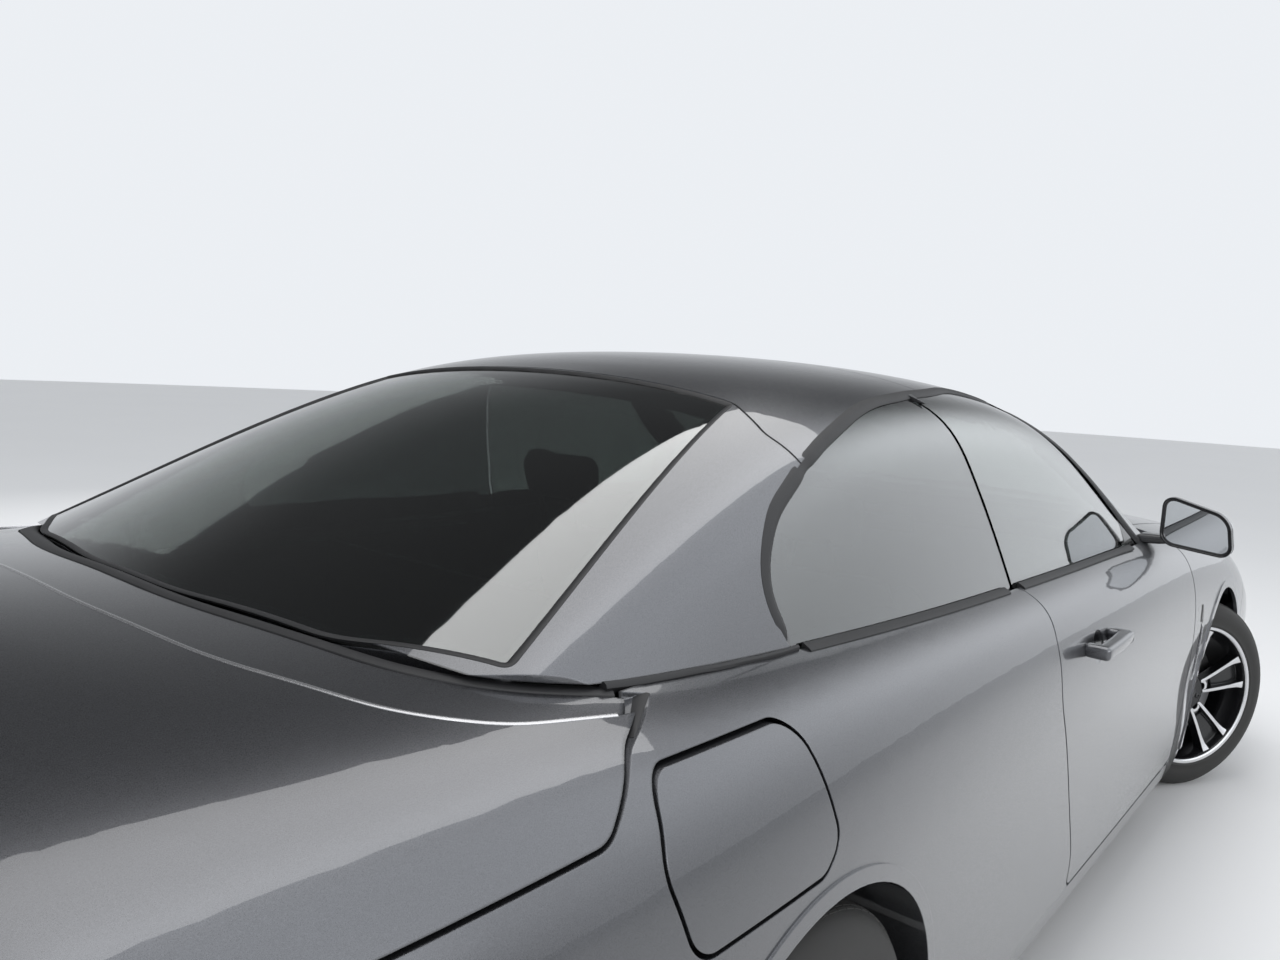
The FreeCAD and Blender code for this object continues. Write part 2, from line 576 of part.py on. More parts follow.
# Floor, tunnel, bulkhead, hinge posts and cowl
TUNNEL = [(-150, 185, 0), (-120, 330, 30), (120, 330, 30), (150, 185, 0)]
floor = box(-560, 1090, -690, 690, 185, 200)
floor = floor.fuse(prism([(-165, 185, 0), (-132, 342, 30), (132, 342, 30), (165, 185, 0)],
                         "front", -560, 1090))
floor = floor.cut(prism(TUNNEL, "front", -600, 1200))
bulkhead = form("hull", 45).common(box(1040, 1090, -778, 778, 185, 1000))
posts = form("hull", 45).common(fused([
    box(1025, 1158, -790, -600, 200, 1000), box(1025, 1158, 600, 790, 200, 1000)]))
floor = fused([floor, bulkhead, posts])
ears = []
for z in DOOR_HINGES_Z:
    ear = hinge_frame(clevis([(0, -99)], 26, 18), (DOOR_PIN[0], -DOOR_PIN[1], z), (-1, 0, 0), (0, -1, 0))
    ears += [ear, mirrored(ear)]
floor = floor.cut(prism(TUNNEL, "front", -600, 1200)).fuse(ears)
nodes["floor_and_bulkhead"] = floor

# Sills
sill = hull.common(box(-897, 1159, -1000, -690, 100, SILL_TOP_Z))
sill = sill.fuse(box(-39, 1020, -770, -700, SILL_TOP_Z, 330)).removeSplitter()
for x in (950, -700):
    sill = sill.fuse(box(x - 40, x + 40, -830, -770, 138, 160))
nodes["sills"] = Part.makeCompound([sill, mirrored(sill)])
nodes["floor_and_bulkhead"] = floor.cut(nodes["sills"])
floor = nodes["floor_and_bulkhead"]

# Front frame: wheel houses, rails, crossmembers and suspension arms
under_bonnet = bonnet_space.cut(form("hull", 45))
tower = form("hull", 8.3).common(box(1165, 1920, -800, -485, 330, 1000))
tower = tower.cut(rod((FRONT_AXLE_X, -1100, TYRE_R), (FRONT_AXLE_X, -485, TYRE_R), ARCH_R + 3))
tower = tower.cut(under_bonnet)
rail = box(1090, 2200, -485, -405, 330, 430)
LOWER_ARM = [(-170, 420, 0), (170, 420, 0), (22, 764, 20), (-22, 764, 20)]
lower_arm = prism([(FRONT_AXLE_X + a, -b, r) for a, b, r in LOWER_ARM], "plan", 188, 204)
upper_arm = prism([(FRONT_AXLE_X + a * 0.6, -b, r) for a, b, r in LOWER_ARM], "plan", 458, 472)
upper_arm = upper_arm.cut(box(1300, 1800, -485, -300, 400, 500))
damper = rod((FRONT_AXLE_X, -530, 200), (FRONT_AXLE_X, -530, 760), 38)
upper_arm = upper_arm.fuse(box(FRONT_AXLE_X - 90, FRONT_AXLE_X + 90, -490, -470, 425, 475))
half = [tower, rail, lower_arm, upper_arm, damper,
        rod((FRONT_AXLE_X, -KINGPIN_Y, 200), (FRONT_AXLE_X, -KINGPIN_Y, 228), 10),
        rod((FRONT_AXLE_X, -KINGPIN_Y, 436), (FRONT_AXLE_X, -KINGPIN_Y, 462), 10)]
beam = form("hull", 45.3).common(box(2150, 2300, -600, 600, 410, 490))
cross = [beam, box(2080, 2110, -485, 485, 250, 680), box(1380, 1700, -430, 430, 180, 235),
         box(1400, 1500, -430, -400, 200, 340), box(1400, 1500, 400, 430, 200, 340),
         box(1085, 2110, -485, 485, 168, 180)]
nodes["front_frame"] = fused(half + [mirrored(s) for s in half] + cross)

# Engine and gearbox, as one plain block on the subframe
nodes["engine_block"] = fused([box(1330, 1850, -210, 210, 235, 760), box(1095, 1330, -140, 140, 235, 480)])

# Rear body: inner side walls over the wheels, seat pan, luggage floor and panels
side = box(-2180, -545, -QUARTER_INNER_Y, -600, SILL_TOP_Z, GLASS_BASE_Z)
side = side.cut(rod((REAR_AXLE_X, -1100, TYRE_R), (REAR_AXLE_X, -640, TYRE_R), ARCH_R + 3))
side = side.common(form("hull", 61))
lid_under = lid_space.cut(form("hull", 60))
side = side.cut(lid_under)
LID_PIN = (-1440.0, 600.0, 975.0)
rear = [side, mirrored(side),
        box(-2200, -560, -600, 600, 370, 385), box(-572, -560, -690, 690, 185, 385),
        box(-1010, -990, -600, 600, 385, GLASS_BASE_Z), box(-700, -560, -690, 690, 185, 200)]
panel = form("hull", 45.3).common(box(-2300, -2200, -700, 700, 370, 670))
panel = panel.cut(box(-2240, -2190, -680, 680, 385, 700))
rear.append(panel)
rear_body = fused(rear).cut(prism(TUNNEL, "front", -720, -550))

# Boot lid arms: a long bend below the rear window, round the body's edge
RING_R = 360.0
arm = Part.makeCylinder(RING_R + 15, 24, Vector(0, 0, -12)).cut(
    Part.makeCylinder(RING_R - 15, 26, Vector(0, 0, -13)))
arm = arm.common(prism([(-15, -600, 0), (600, -600, 0), (600, -46, 0), (-15, -46, 0)], "plan", -20, 20))
arm = fused([arm, Part.makeBox(30, RING_R, 24, Vector(-15, -RING_R, -12)),
             Part.makeBox(30, 110, 24, Vector(RING_R - 15, -50, -12)),
             Part.makeCylinder(18, 24, Vector(0, 0, -12))])
arm = arm.cut(Part.makeCylinder(PIN_R + 3.05, 30, Vector(0, 0, -15)))
lid_arms = []
for y in (-LID_PIN[1] + 15, LID_PIN[1] - 15):
    lid_arms.append(hinge_frame(arm, (LID_PIN[0], y, LID_PIN[2]), (-1, 0, 0), (0, 0, 1)).cut(
        form("hull", -50).cut(form("hull", LID_T - 2)).common(box(-2000, -1700, -700, 700, 600, 1200))))
lid = fused([nodes["boot_lid"]] + lid_arms)
nodes["boot_lid"] = max(lid.Solids, key=lambda s: s.Volume)
for sign in (-1, 1):
    rear_body = rear_body.fuse([
        rod((LID_PIN[0], sign * 565, LID_PIN[2]), (LID_PIN[0], sign * 640, LID_PIN[2]), PIN_R + 3),
        box(LID_PIN[0] - 22, LID_PIN[0] + 22, min(sign * 612, sign * 650), max(sign * 612, sign * 650),
            880, 992)])
nodes["rear_body"] = rear_body

# Bonnet arms under its rear corners
BONNET_PIN = (925.0, 620.0, 924.0)
bonnet_arms = []
for y in (-BONNET_PIN[1], BONNET_PIN[1]):
    arm = hinge_frame(swan_neck([(0, -52), (75, -52), (95, 20)], 22, 14),
                      (BONNET_PIN[0], y, BONNET_PIN[2]), (1, 0, 0), (0, 0, 1))
    bonnet_arms.append(arm.cut(form("hull", -60).cut(form("hull", BONNET_T - 2))))
    ear = hinge_frame(clevis([(0, -88)], 22, 20), (BONNET_PIN[0], y, BONNET_PIN[2]), (1, 0, 0), (0, 0, 1))
    floor = floor.fuse(ear)
nodes["bonnet"] = fused([nodes["bonnet"]] + bonnet_arms)
shelves = [box(905, 1045, y - 40, y + 40, 830, 848) for y in (-620, 620)]
nodes["floor_and_bulkhead"] = floor.fuse(shelves)

# Fuel flap hinge in its pocket
FLAP_PIN = (-1195.0, -868.0, 830.0)
flap_arm = hinge_frame(swan_neck([(0, -86), (104, -86), (104, 10)], 24, 6, FLAP_PIN_R, FLAP_EYE_R),
                       FLAP_PIN, (-1, 0, 0), (0, -1, 0))
nodes["fuel_flap"] = nodes["fuel_flap"].fuse(flap_arm.cut(form("hull", -50).cut(form("hull", FLAP_T - 1))))
pocket_side = box(-1290, -1180, -912, -775, 806, 854).common(form("hull", 6))
flap_ears = hinge_frame(clevis([(0, -110)], 24, 12, FLAP_PIN_R, FLAP_EYE_R), FLAP_PIN,
                        (-1, 0, 0), (0, -1, 0))
nodes["quarter_panel_right"] = nodes["quarter_panel_right"].cut(pocket_side).fuse(flap_ears)

# Dashboard with the centre console, and the steering wheel on the left
dash_profile = [(1025, 560, 0), (1025, 815, 0), (895, 815, 0), (860, 880, 30), (610, 862, 50), (575, 780, 40),
                (640, 600, 60), (760, 560, 60)]
dash = prism(dash_profile, "side", -720, 720)
console = prism([(700, 342, 0), (700, 640, 60), (520, 600, 80), (300, 480, 60), (-330, 470, 60),
                 (-330, 342, 0)], "side", -120, 120)
hood = prism([(640, 840, 0), (618, 905, 25), (700, 922, 40), (820, 870, 0)], "side", 225, 515)
screen = prism([(668, 840, 0), (640, 925, 6), (652, 928, 6), (690, 840, 0)], "side", -130, 130)
vents = [prism([(650, 800, 0), (592, 800, 8), (588, 750, 8), (650, 750, 0)], "side", y - 55, y + 55)
         for y in (-620, -170, 130, 620)]
shifter = prism([(120, 460, 0), (130, 545, 15), (75, 548, 15), (60, 460, 0)], "side", -22, 22)
console_lid = prism([(-40, 460, 0), (-30, 510, 25), (-325, 520, 30), (-335, 460, 0)], "side", -105, 105)
nodes["dashboard"] = fused([dash, console, hood, screen, shifter, console_lid] + vents).cut(
    nodes["floor_and_bulkhead"])
WHEEL_HUB = Vector(455, 370, 775)
ring = [Vector(0, 178 + 15 * math.cos(a), 15 * math.sin(a))
        for a in (math.radians(22.5 + 45 * k) for k in range(8))]
steering = Part.Face(Part.makePolygon(ring + [ring[0]])).revolve(
    Vector(0, 0, 0), Vector(0, 0, 1), 360)
steering.rotate(Vector(0, 0, 0), Vector(0, 1, 0), -67)
steering.translate(WHEEL_HUB)
column = rod((455, 370, 775), (640, 370, 697), 38)
spokes = Part.makeBox(26, 330, 34, Vector(-13, -165, -17)).fuse(Part.makeBox(24, 34, 165, Vector(-12, -17, -165)))
spokes.rotate(Vector(0, 0, 0), Vector(0, 1, 0), -23)
spokes.translate(WHEEL_HUB)
nodes["steering_wheel"] = fused([steering, spokes, column]).cut(nodes["dashboard"])

# Seats: cushion, reclined back and head rest on a pedestal
SEAT_Y = 375.0
SEAT_W = 460.0
seat = prism([(230, 300, 40), (300, 430, 50), (-60, 400, 30), (-150, 430, 40), (-420, 960, 60),
              (-520, 950, 60), (-330, 360, 80), (-270, 300, 40)], "side", -SEAT_W / 2, SEAT_W / 2)
rest = prism([(-405, 975, 30), (-440, 1150, 45), (-545, 1130, 45), (-520, 970, 30)], "side", -140, 140)
stem = prism([(-445, 900, 0), (-445, 1000, 0), (-480, 1000, 0), (-480, 900, 0)], "side", -80, 80)
pedestal = box(-250, 200, -170, 170, 200, 305)
CUSHION = [(205, 310, 40), (280, 452, 45), (-90, 442, 60), (-150, 330, 30)]
BACKREST = [(-100, 420, 40), (-190, 620, 60), (-380, 860, 60), (-470, 850, 60), (-330, 430, 60)]
bolsters = []
for y0, y1 in ((-SEAT_W / 2, -SEAT_W / 2 + 62), (SEAT_W / 2 - 62, SEAT_W / 2)):
    bolsters += [prism(CUSHION, "side", y0, y1), prism(BACKREST, "side", y0, y1)]
seat = fused([seat, rest, stem, pedestal] + bolsters)
seats = []
for y in (-SEAT_Y, SEAT_Y):
    one = seat.copy()
    one.translate(Vector(0, y, 0))
    seats.append(one)
nodes["front_seats"] = Part.makeCompound(seats)
bench = prism([(-500, 385, 0), (-500, 500, 50), (-800, 470, 40), (-890, 880, 40), (-990, 880, 30),
               (-990, 385, 0)], "side", -590, 590)
bench = bench.cut(box(-560, -490, -600, 600, 380, 385)).cut(prism(
    [(-480, 495, 30), (-480, 900, 0), (-900, 900, 0), (-900, 495, 30)], "side", -45, 45))
nodes["rear_bench"] = bench

# Rear suspension: subframe, differential, half shafts and hub carriers
AXLE_Z = TYRE_R
rear_parts = [
    box(REAR_AXLE_X - 130, REAR_AXLE_X + 130, -110, 110, 230, 370),
    rod((REAR_AXLE_X, -690, AXLE_Z), (REAR_AXLE_X, 690, AXLE_Z), 20),
    rod((REAR_AXLE_X + 260, -560, 290), (REAR_AXLE_X + 260, 560, 290), 32),
    rod((REAR_AXLE_X - 230, -560, 290), (REAR_AXLE_X - 230, 560, 290), 32),
    box(REAR_AXLE_X - 230, REAR_AXLE_X + 260, -90, 90, 270, 310),
]
for sign in (-1, 1):
    rear_parts.append(box(REAR_AXLE_X + 220, REAR_AXLE_X + 300, min(sign * 480, sign * 560),
                          max(sign * 480, sign * 560), 280, 370))
    rear_parts.append(box(REAR_AXLE_X - 270, REAR_AXLE_X - 190, min(sign * 480, sign * 560),
                          max(sign * 480, sign * 560), 280, 370))
nodes["rear_axle"] = fused(rear_parts)
for sign in (-1, 1):
    hub = [
        rod((REAR_AXLE_X, sign * 640, AXLE_Z), (REAR_AXLE_X, sign * 768, AXLE_Z), 48),
        rod((REAR_AXLE_X, sign * 768, AXLE_Z), (REAR_AXLE_X, sign * 850, AXLE_Z), 22),
        prism([(REAR_AXLE_X + 280, sign * 500, 0), (REAR_AXLE_X + 20, sign * 700, 0),
               (REAR_AXLE_X - 20, sign * 700, 0), (REAR_AXLE_X - 250, sign * 500, 0)],
              "plan", 205, 222),
        box(REAR_AXLE_X - 25, REAR_AXLE_X + 25, min(sign * 655, sign * 700),
            max(sign * 655, sign * 700), 205, 400),
        rod((REAR_AXLE_X + 260, sign * 530, 210), (REAR_AXLE_X + 260, sign * 530, 300), 20),
        rod((REAR_AXLE_X - 230, sign * 530, 210), (REAR_AXLE_X - 230, sign * 530, 300), 20),
    ]
    nodes["rear_axle"] = nodes["rear_axle"].fuse(hub)
nodes["rear_body"] = nodes["rear_body"].cut(fused([
    box(REAR_AXLE_X - 60, REAR_AXLE_X + 60, -800, 800, 196, 460),
    box(REAR_AXLE_X - 300, REAR_AXLE_X + 330, -800, 800, 196, 232)]))
nodes["rear_axle"] = nodes["rear_axle"].cut(nodes["rear_body"])

# Exhaust: pipe in the tunnel, silencer across the tail and two outlets
EXHAUST_Y = 430.0
pipe = [
    rod((1080, 0, 235), (-980, 0, 235), 32),
    rod((-980, 0, 235), (-1560, -250, 262), 32),
    rod((-1560, -250, 262), (-1900, -250, 285), 32),
    rod((-1900, -470, 285), (-1900, 470, 285), 85),
]
for sign in (-1, 1):
    pipe.append(rod((-1900, sign * EXHAUST_Y, 285), (-2300, sign * EXHAUST_Y, 270), 38))
    pipe.append(box(-1915, -1885, min(sign * 300, sign * 330), max(sign * 300, sign * 330), 350, 370))
exhaust = fused(pipe + [Part.makeSphere(32, Vector(-980, 0, 235)),
                        Part.makeSphere(32, Vector(-1560, -250, 262))])
for sign in (-1, 1):
    exhaust = exhaust.cut(rod((-2180, sign * EXHAUST_Y, 274.5), (-2310, sign * EXHAUST_Y, 269.6), 33))
exhaust = exhaust.cut(nodes["rear_axle"]).cut(nodes["rear_body"])
nodes["exhaust"] = max(exhaust.Solids, key=lambda s: s.Volume)
for sign in (-1, 1):
    nodes["rear_bumper"] = nodes["rear_bumper"].cut(
        rod((-2180, sign * EXHAUST_Y, 272), (-2400, sign * EXHAUST_Y, 272), 48))

# Number-plate screw holes
for y in (-220, 220):
    nodes["rear_bumper"] = nodes["rear_bumper"].cut(rod((-2330, y, 520), (-2260, y, 520), 3))
    nodes["front_bumper"] = nodes["front_bumper"].cut(rod((2260, y, 450), (2330, y, 450), 3))

# Wheels. Drawn with the axle along Y and the outer side towards -Y.
def revolved(profile):
    points = [Vector(y, 0, r) for y, r in profile]
    wire = Part.makePolygon(points + [points[0]])
    solid = Part.Face(wire).revolve(Vector(0, 0, 0), Vector(1, 0, 0), 360)
    solid.rotate(Vector(0, 0, 0), Vector(0, 0, 1), 90)
    return solid


TYRE_SIDES = 60


def tyre(width):
    """A tyre of flat strips, so that it stays light; its corners lie on the true circle."""
    h = width / 2
    profile = [
        (-h + 10, RIM_R - 11.6), (-h, RIM_R + 40), (-h + 8, TYRE_R - 20), (-h + 34, TYRE_R),
        (h - 34, TYRE_R), (h - 8, TYRE_R - 20), (h, RIM_R + 40), (h - 10, RIM_R - 11.6)]
    rings = []
    for k in range(TYRE_SIDES):
        a = 2 * math.pi * k / TYRE_SIDES - math.pi / 2
        rings.append([Vector(r * math.cos(a), y, r * math.sin(a)) for y, r in profile])
    faces = []
    for k in range(TYRE_SIDES):
        here, following = rings[k], rings[(k + 1) % TYRE_SIDES]
        for j in range(len(profile)):
            i = (j + 1) % len(profile)
            corners = [here[j], here[i], following[i], following[j], here[j]]
            faces.append(Part.Face(Part.makePolygon(corners)))
    shell = Part.Shell(faces)
    solid = Part.Solid(shell)
    if solid.Volume < 0:
        solid.reverse()
    return solid


def rim(width):
    h = width / 2
    f = -h + 2
    barrel = revolved([
        (f, RIM_R + 1.7), (f, RIM_R - 14), (f + 60, RIM_R - 24), (h - 12, RIM_R - 18),
        (h - 2, RIM_R - 14), (h - 2, RIM_R + 1.7), (h - 7, RIM_R + 1.7), (h - 9.7, RIM_R - 12.3),
        (f + 7.7, RIM_R - 12.3), (f + 5, RIM_R + 1.7)])
    face = -h + 22
    hub_plane = -33
    hub = revolved([(face + 18, 0), (face + 10, 62), (face + 30, 74), (hub_plane, 74),
                    (hub_plane, 0)])
    pieces = [barrel, hub]
    for k in range(5):
        for side in (-1, 1):
            spoke = prism([(side * 14, 55, 0), (side * 52, 55, 0), (side * 60, RIM_R - 27, 0),
                           (side * 42, RIM_R - 22, 0)], "side", face, face + 34)
            spoke.rotate(Vector(0, 0, 0), Vector(0, 1, 0), 72 * k)
            pieces.append(spoke)
        web = prism([(-38, 150, 20), (38, 150, 20), (46, RIM_R - 25, 0), (-46, RIM_R - 25, 0)],
                    "side", face + 14, face + 28)
        web.rotate(Vector(0, 0, 0), Vector(0, 1, 0), 72 * k)
        pieces.append(web)
    disc = revolved([(hub_plane, 60), (hub_plane, 85), (hub_plane + 14, 85), (hub_plane + 14, 170),
                     (hub_plane + 36, 170), (hub_plane + 36, 60)])
    disc = disc.cut(rod((0, hub_plane + 4, 0), (0, hub_plane + 60, 0), 60))
    pieces.append(disc)
    wheel = fused(pieces)
    return wheel.cut(rod((0, -h - 5, 0), (0, 200, 0), 22.05).common(box(-50, 50, face + 26, 200, -50, 50)))


WHEELS = [
    # name, axle x, centre y, width
    ("front", FRONT_AXLE_X, FRONT_TRACK / 2, FRONT_TYRE_W),
    ("rear", REAR_AXLE_X, REAR_TRACK / 2, REAR_TYRE_W),
]
for name, x, y, width in WHEELS:
    for side in ("right", "left"):
        for piece, shape in (("tyre", tyre(width)), ("rim", rim(width))):
            if side == "left":
                shape = mirrored(shape)
            shape.translate(Vector(x, y if side == "left" else -y, TYRE_R))
            nodes[piece + "_" + name + "_" + side] = shape

# Steering knuckles: upright between the two ball joints, hub, stub axle and brake caliper
upright = box(FRONT_AXLE_X - 24, FRONT_AXLE_X + 24, -762, -722, 208, 453)
knuckle = fused([
    upright, rod((FRONT_AXLE_X, -715, TYRE_R), (FRONT_AXLE_X, -772, TYRE_R), 50),
    rod((FRONT_AXLE_X, -772, TYRE_R), (FRONT_AXLE_X, -FRONT_TRACK / 2 - 62, TYRE_R), 22)])
knuckle = knuckle.cut(rod((FRONT_AXLE_X, -KINGPIN_Y, 200), (FRONT_AXLE_X, -KINGPIN_Y, 232), 10.05))
knuckle = knuckle.cut(rod((FRONT_AXLE_X, -KINGPIN_Y, 432), (FRONT_AXLE_X, -KINGPIN_Y, 460), 10.05))
nodes["knuckle_right"] = knuckle
for name in ("knuckle_right", "door_right", "door_window_right", "mirror_right", "front_wing_right"):
    nodes[name.replace("right", "left")] = mirrored(nodes[name])
nodes["quarter_windows"] = Part.makeCompound([quarter_window, mirrored(quarter_window)])
for side, sign in (("right", -1), ("left", 1)):
    for name in ("knuckle_", "rim_front_", "tyre_front_"):
        nodes[name + side].rotate(
            Vector(FRONT_AXLE_X, sign * KINGPIN_Y, 0), Vector(0, 0, 1), STEER_REST_DEG)

os.makedirs("parts", exist_ok=True)
for name, shape in nodes.items():
    shape.exportStep("parts/" + name + ".step")
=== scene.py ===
"""Two-door convertible with a folding hard top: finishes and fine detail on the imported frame."""
import math

import bmesh
import bpy
from mathutils import Matrix, Vector


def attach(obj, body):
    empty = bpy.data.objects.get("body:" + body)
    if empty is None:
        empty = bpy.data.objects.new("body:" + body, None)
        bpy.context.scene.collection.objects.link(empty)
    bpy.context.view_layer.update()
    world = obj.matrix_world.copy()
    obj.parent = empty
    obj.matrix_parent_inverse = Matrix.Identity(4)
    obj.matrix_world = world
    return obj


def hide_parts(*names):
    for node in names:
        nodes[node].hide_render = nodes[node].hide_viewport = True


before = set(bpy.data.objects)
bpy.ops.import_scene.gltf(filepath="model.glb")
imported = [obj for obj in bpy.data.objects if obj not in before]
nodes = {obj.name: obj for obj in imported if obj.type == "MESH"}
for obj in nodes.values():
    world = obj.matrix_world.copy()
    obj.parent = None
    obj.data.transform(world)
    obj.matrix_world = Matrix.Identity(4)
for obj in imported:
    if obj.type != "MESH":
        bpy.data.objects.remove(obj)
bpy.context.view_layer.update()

# The studio: a pale floor, one large soft lamp overhead and one on each side of the car. The
# camera stands at the car's right rear corner, a little above the roof, as in the photograph.
CAMERA_PLACE = Vector((-2.3674, -1.4451, 1.3615))
HEADING, DIP, TILT = math.radians(38.97), math.radians(6.64), math.radians(3.14)
SENSOR_WIDTH = 36.0
FOCAL_LENGTH = 998.2 / 1280 * SENSOR_WIDTH
FLOOR_RADIUS = 30.0

camera = bpy.data.objects.new("camera", bpy.data.cameras.new("camera"))
bpy.context.scene.collection.objects.link(camera)
bpy.context.scene.camera = camera
ahead = Vector((
    math.cos(HEADING) * math.cos(DIP), math.sin(HEADING) * math.cos(DIP), -math.sin(DIP)))
level = Vector((math.sin(HEADING), -math.cos(HEADING), 0.0))
upright = level.cross(ahead)
right = level * math.cos(TILT) + upright * math.sin(TILT)
above = upright * math.cos(TILT) - level * math.sin(TILT)
turned_to = Matrix((right, above, -ahead)).transposed().to_4x4()
camera.matrix_world = Matrix.Translation(CAMERA_PLACE) @ turned_to
camera.data.sensor_width = SENSOR_WIDTH
camera.data.lens = FOCAL_LENGTH
camera.data.clip_start = 0.02
camera.data.clip_end = 200.0

bpy.ops.object.select_all(action="DESELECT")
bpy.ops.mesh.primitive_circle_add(vertices=96, radius=FLOOR_RADIUS, fill_type="NGON")
floor = bpy.context.object
floor.name = "studio_floor"


class Wire:
    """One value in a finish's nodes. Sums on it add Math nodes."""

    def __init__(self, tree, socket):
        self.tree = tree
        self.socket = socket

    def maths(self, operation, *terms):
        node = self.tree.nodes.new("ShaderNodeMath")
        node.operation = operation
        for place, term in zip(node.inputs, terms):
            if isinstance(term, Wire):
                self.tree.links.new(term.socket, place)
            else:
                place.default_value = term
        return Wire(self.tree, node.outputs[0])

    def __add__(self, other):
        return self.maths("ADD", self, other)

    def __mul__(self, other):
        return self.maths("MULTIPLY", self, other)

    def __sub__(self, other):
        return self.maths("SUBTRACT", self, other)

    def __rsub__(self, other):
        return self.maths("SUBTRACT", other, self)

    def __abs__(self):
        return self.maths("ABSOLUTE", self)

    def over(self, edge, soft=0.002):
        """1 where the value is above edge, 0 below it, with a soft step between."""
        step = self.tree.nodes.new("ShaderNodeMapRange")
        step.interpolation_type = "SMOOTHSTEP"
        step.inputs["From Min"].default_value = edge - soft
        step.inputs["From Max"].default_value = edge + soft
        self.tree.links.new(self.socket, step.inputs["Value"])
        return Wire(self.tree, step.outputs[0])


class Finish:
    """A surface finish: one Principled shader, and the nodes that vary it."""

    def __init__(self, name, slot="black_plastic", **sockets):
        self.material = bpy.data.materials.new(name)
        self.material["slot"] = slot
        self.material.use_nodes = True
        self.tree = self.material.node_tree
        self.shader = self.tree.nodes["Principled BSDF"]
        self.feed(**sockets)

    def plug(self, node, sockets):
        for key, value in sockets.items():
            place = node.inputs[key.replace("_", " ") if isinstance(key, str) else key]
            if isinstance(value, Wire):
                self.tree.links.new(value.socket, place)
            elif isinstance(value, tuple) and len(value) == 3 and place.type == "RGBA":
                place.default_value = value + (1.0,)
            else:
                place.default_value = value

    def feed(self, **sockets):
        self.plug(self.shader, sockets)
        return self

    def node(self, kind, settings=None, sockets=None, out=0):
        """Adds one node; a ramp's stops are (place, colour) pairs under the setting "stops"."""
        node = self.tree.nodes.new("ShaderNode" + kind)
        for key, value in (settings or {}).items():
            if key == "stops":
                ramp = node.color_ramp.elements
                while len(ramp) < len(value):
                    ramp.new(0.5)
                for stop, (place, colour) in zip(ramp, value):
                    stop.position = place
                    stop.color = colour + (1.0,)
            else:
                setattr(node, key, value)
        self.plug(node, sockets or {})
        return Wire(self.tree, node.outputs[out])

    def place(self):
        """The point on the piece, in the car's own metres."""
        return self.node("TexCoord", out=3)

    def axes(self, point=None):
        """The x, y and z of a point as three values."""
        split = self.tree.nodes.new("ShaderNodeSeparateXYZ")
        self.tree.links.new((point or self.place()).socket, split.inputs[0])
        return [Wire(self.tree, out) for out in split.outputs]

    def grain(self, scale, detail=2.0, rough=0.5):
        return self.node("TexNoise", None, {
            "Vector": self.place(), "Scale": scale, "Detail": detail, "Roughness": rough})

    def bands(self, direction, scale):
        return self.node("TexWave", {"wave_type": "BANDS", "bands_direction": direction}, {
            "Vector": self.place(), "Scale": scale})

    def blend(self, mask, a, b):
        """Colour a where the mask is 0 and colour b where it is 1."""
        return self.node("Mix", {"data_type": "RGBA"}, {0: mask, 6: a, 7: b}, out=2)

    def bump(self, height, distance, strength=1.0, rounding=None):
        sockets = {"Height": height, "Distance": distance, "Strength": strength}
        if rounding:
            sockets["Normal"] = self.node("Bevel", {"samples": 6}, {"Radius": rounding})
        return self.node("Bump", None, sockets)

    def two_tone(self, pattern, dark, light, rough=None, bump=None):
        """Two shades mixed by a pattern, which can vary the roughness and raise the surface."""
        self.feed(Base_Color=self.blend(pattern, dark, light))
        if rough:
            self.feed(Roughness=pattern * rough[0] + rough[1])
        if bump:
            self.feed(Normal=self.bump(pattern, *bump))
        return self


def put_on(finish, *names):
    """Gives the finish to CAD nodes."""
    for name in names:
        slots = nodes[name].data.materials
        slots.clear()
        slots.append(finish.material)


concrete = Finish("pale_floor", Roughness=0.6)
tone = concrete.grain(0.6, 4.0) * 0.03 + 0.80
concrete.feed(Base_Color=concrete.node("CombineColor", None, {0: tone, 1: tone, 2: tone}))
floor.data.materials.append(concrete.material)

# The light all round: a plain sky for the eye, and for the car's reflections a dark band on
# its left and a bright one above its right, as the wall and the open sky make in the photograph.
SKY_COLOUR = (0.93, 0.96, 1.0, 1.0)
SKY_SEEN, SKY_LIGHT = 0.9, 0.75
world = bpy.data.worlds.new("studio")
bpy.context.scene.world = world
world.use_nodes = True
sky = world.node_tree
ray = sky.nodes.new("ShaderNodeLightPath")
seen, glossy, through = (
    Wire(sky, ray.outputs["Is %s Ray" % kind]) for kind in ("Camera", "Glossy", "Transmission"))
mirrored = seen.maths("MAXIMUM", glossy, through)
way = sky.nodes.new("ShaderNodeTexCoord")
split = sky.nodes.new("ShaderNodeSeparateXYZ")
sky.links.new(way.outputs["Generated"], split.inputs[0])
to_right = (Wire(sky, split.outputs[1]) * -1.0).over(0.05, 0.3)
high_up = Wire(sky, split.outputs[2]).over(0.26, 0.30)
backdrop = to_right * 0.45 + 0.66 - high_up * (0.58 - to_right * 1.4)
strength = seen * SKY_SEEN + (1.0 - seen) * (mirrored * backdrop + (1.0 - mirrored) * SKY_LIGHT)
sky.links.new(strength.socket, sky.nodes["Background"].inputs["Strength"])
sky.nodes["Background"].inputs["Color"].default_value = SKY_COLOUR
LAMPS = (
    # name, place, aimed at, width, height, watts
    ("lamp_over", (-0.2, 0.3, 5.6), (-0.2, 0.0, 0.0), 7.0, 3.4, 185.0),
    ("lamp_right", (-3.0, -7.0, 3.0), (-0.5, 0.0, 0.7), 8.0, 2.0, 170.0),
    ("lamp_left", (1.5, 6.5, 3.4), (0.0, 0.0, 0.7), 4.0, 2.0, 70.0))
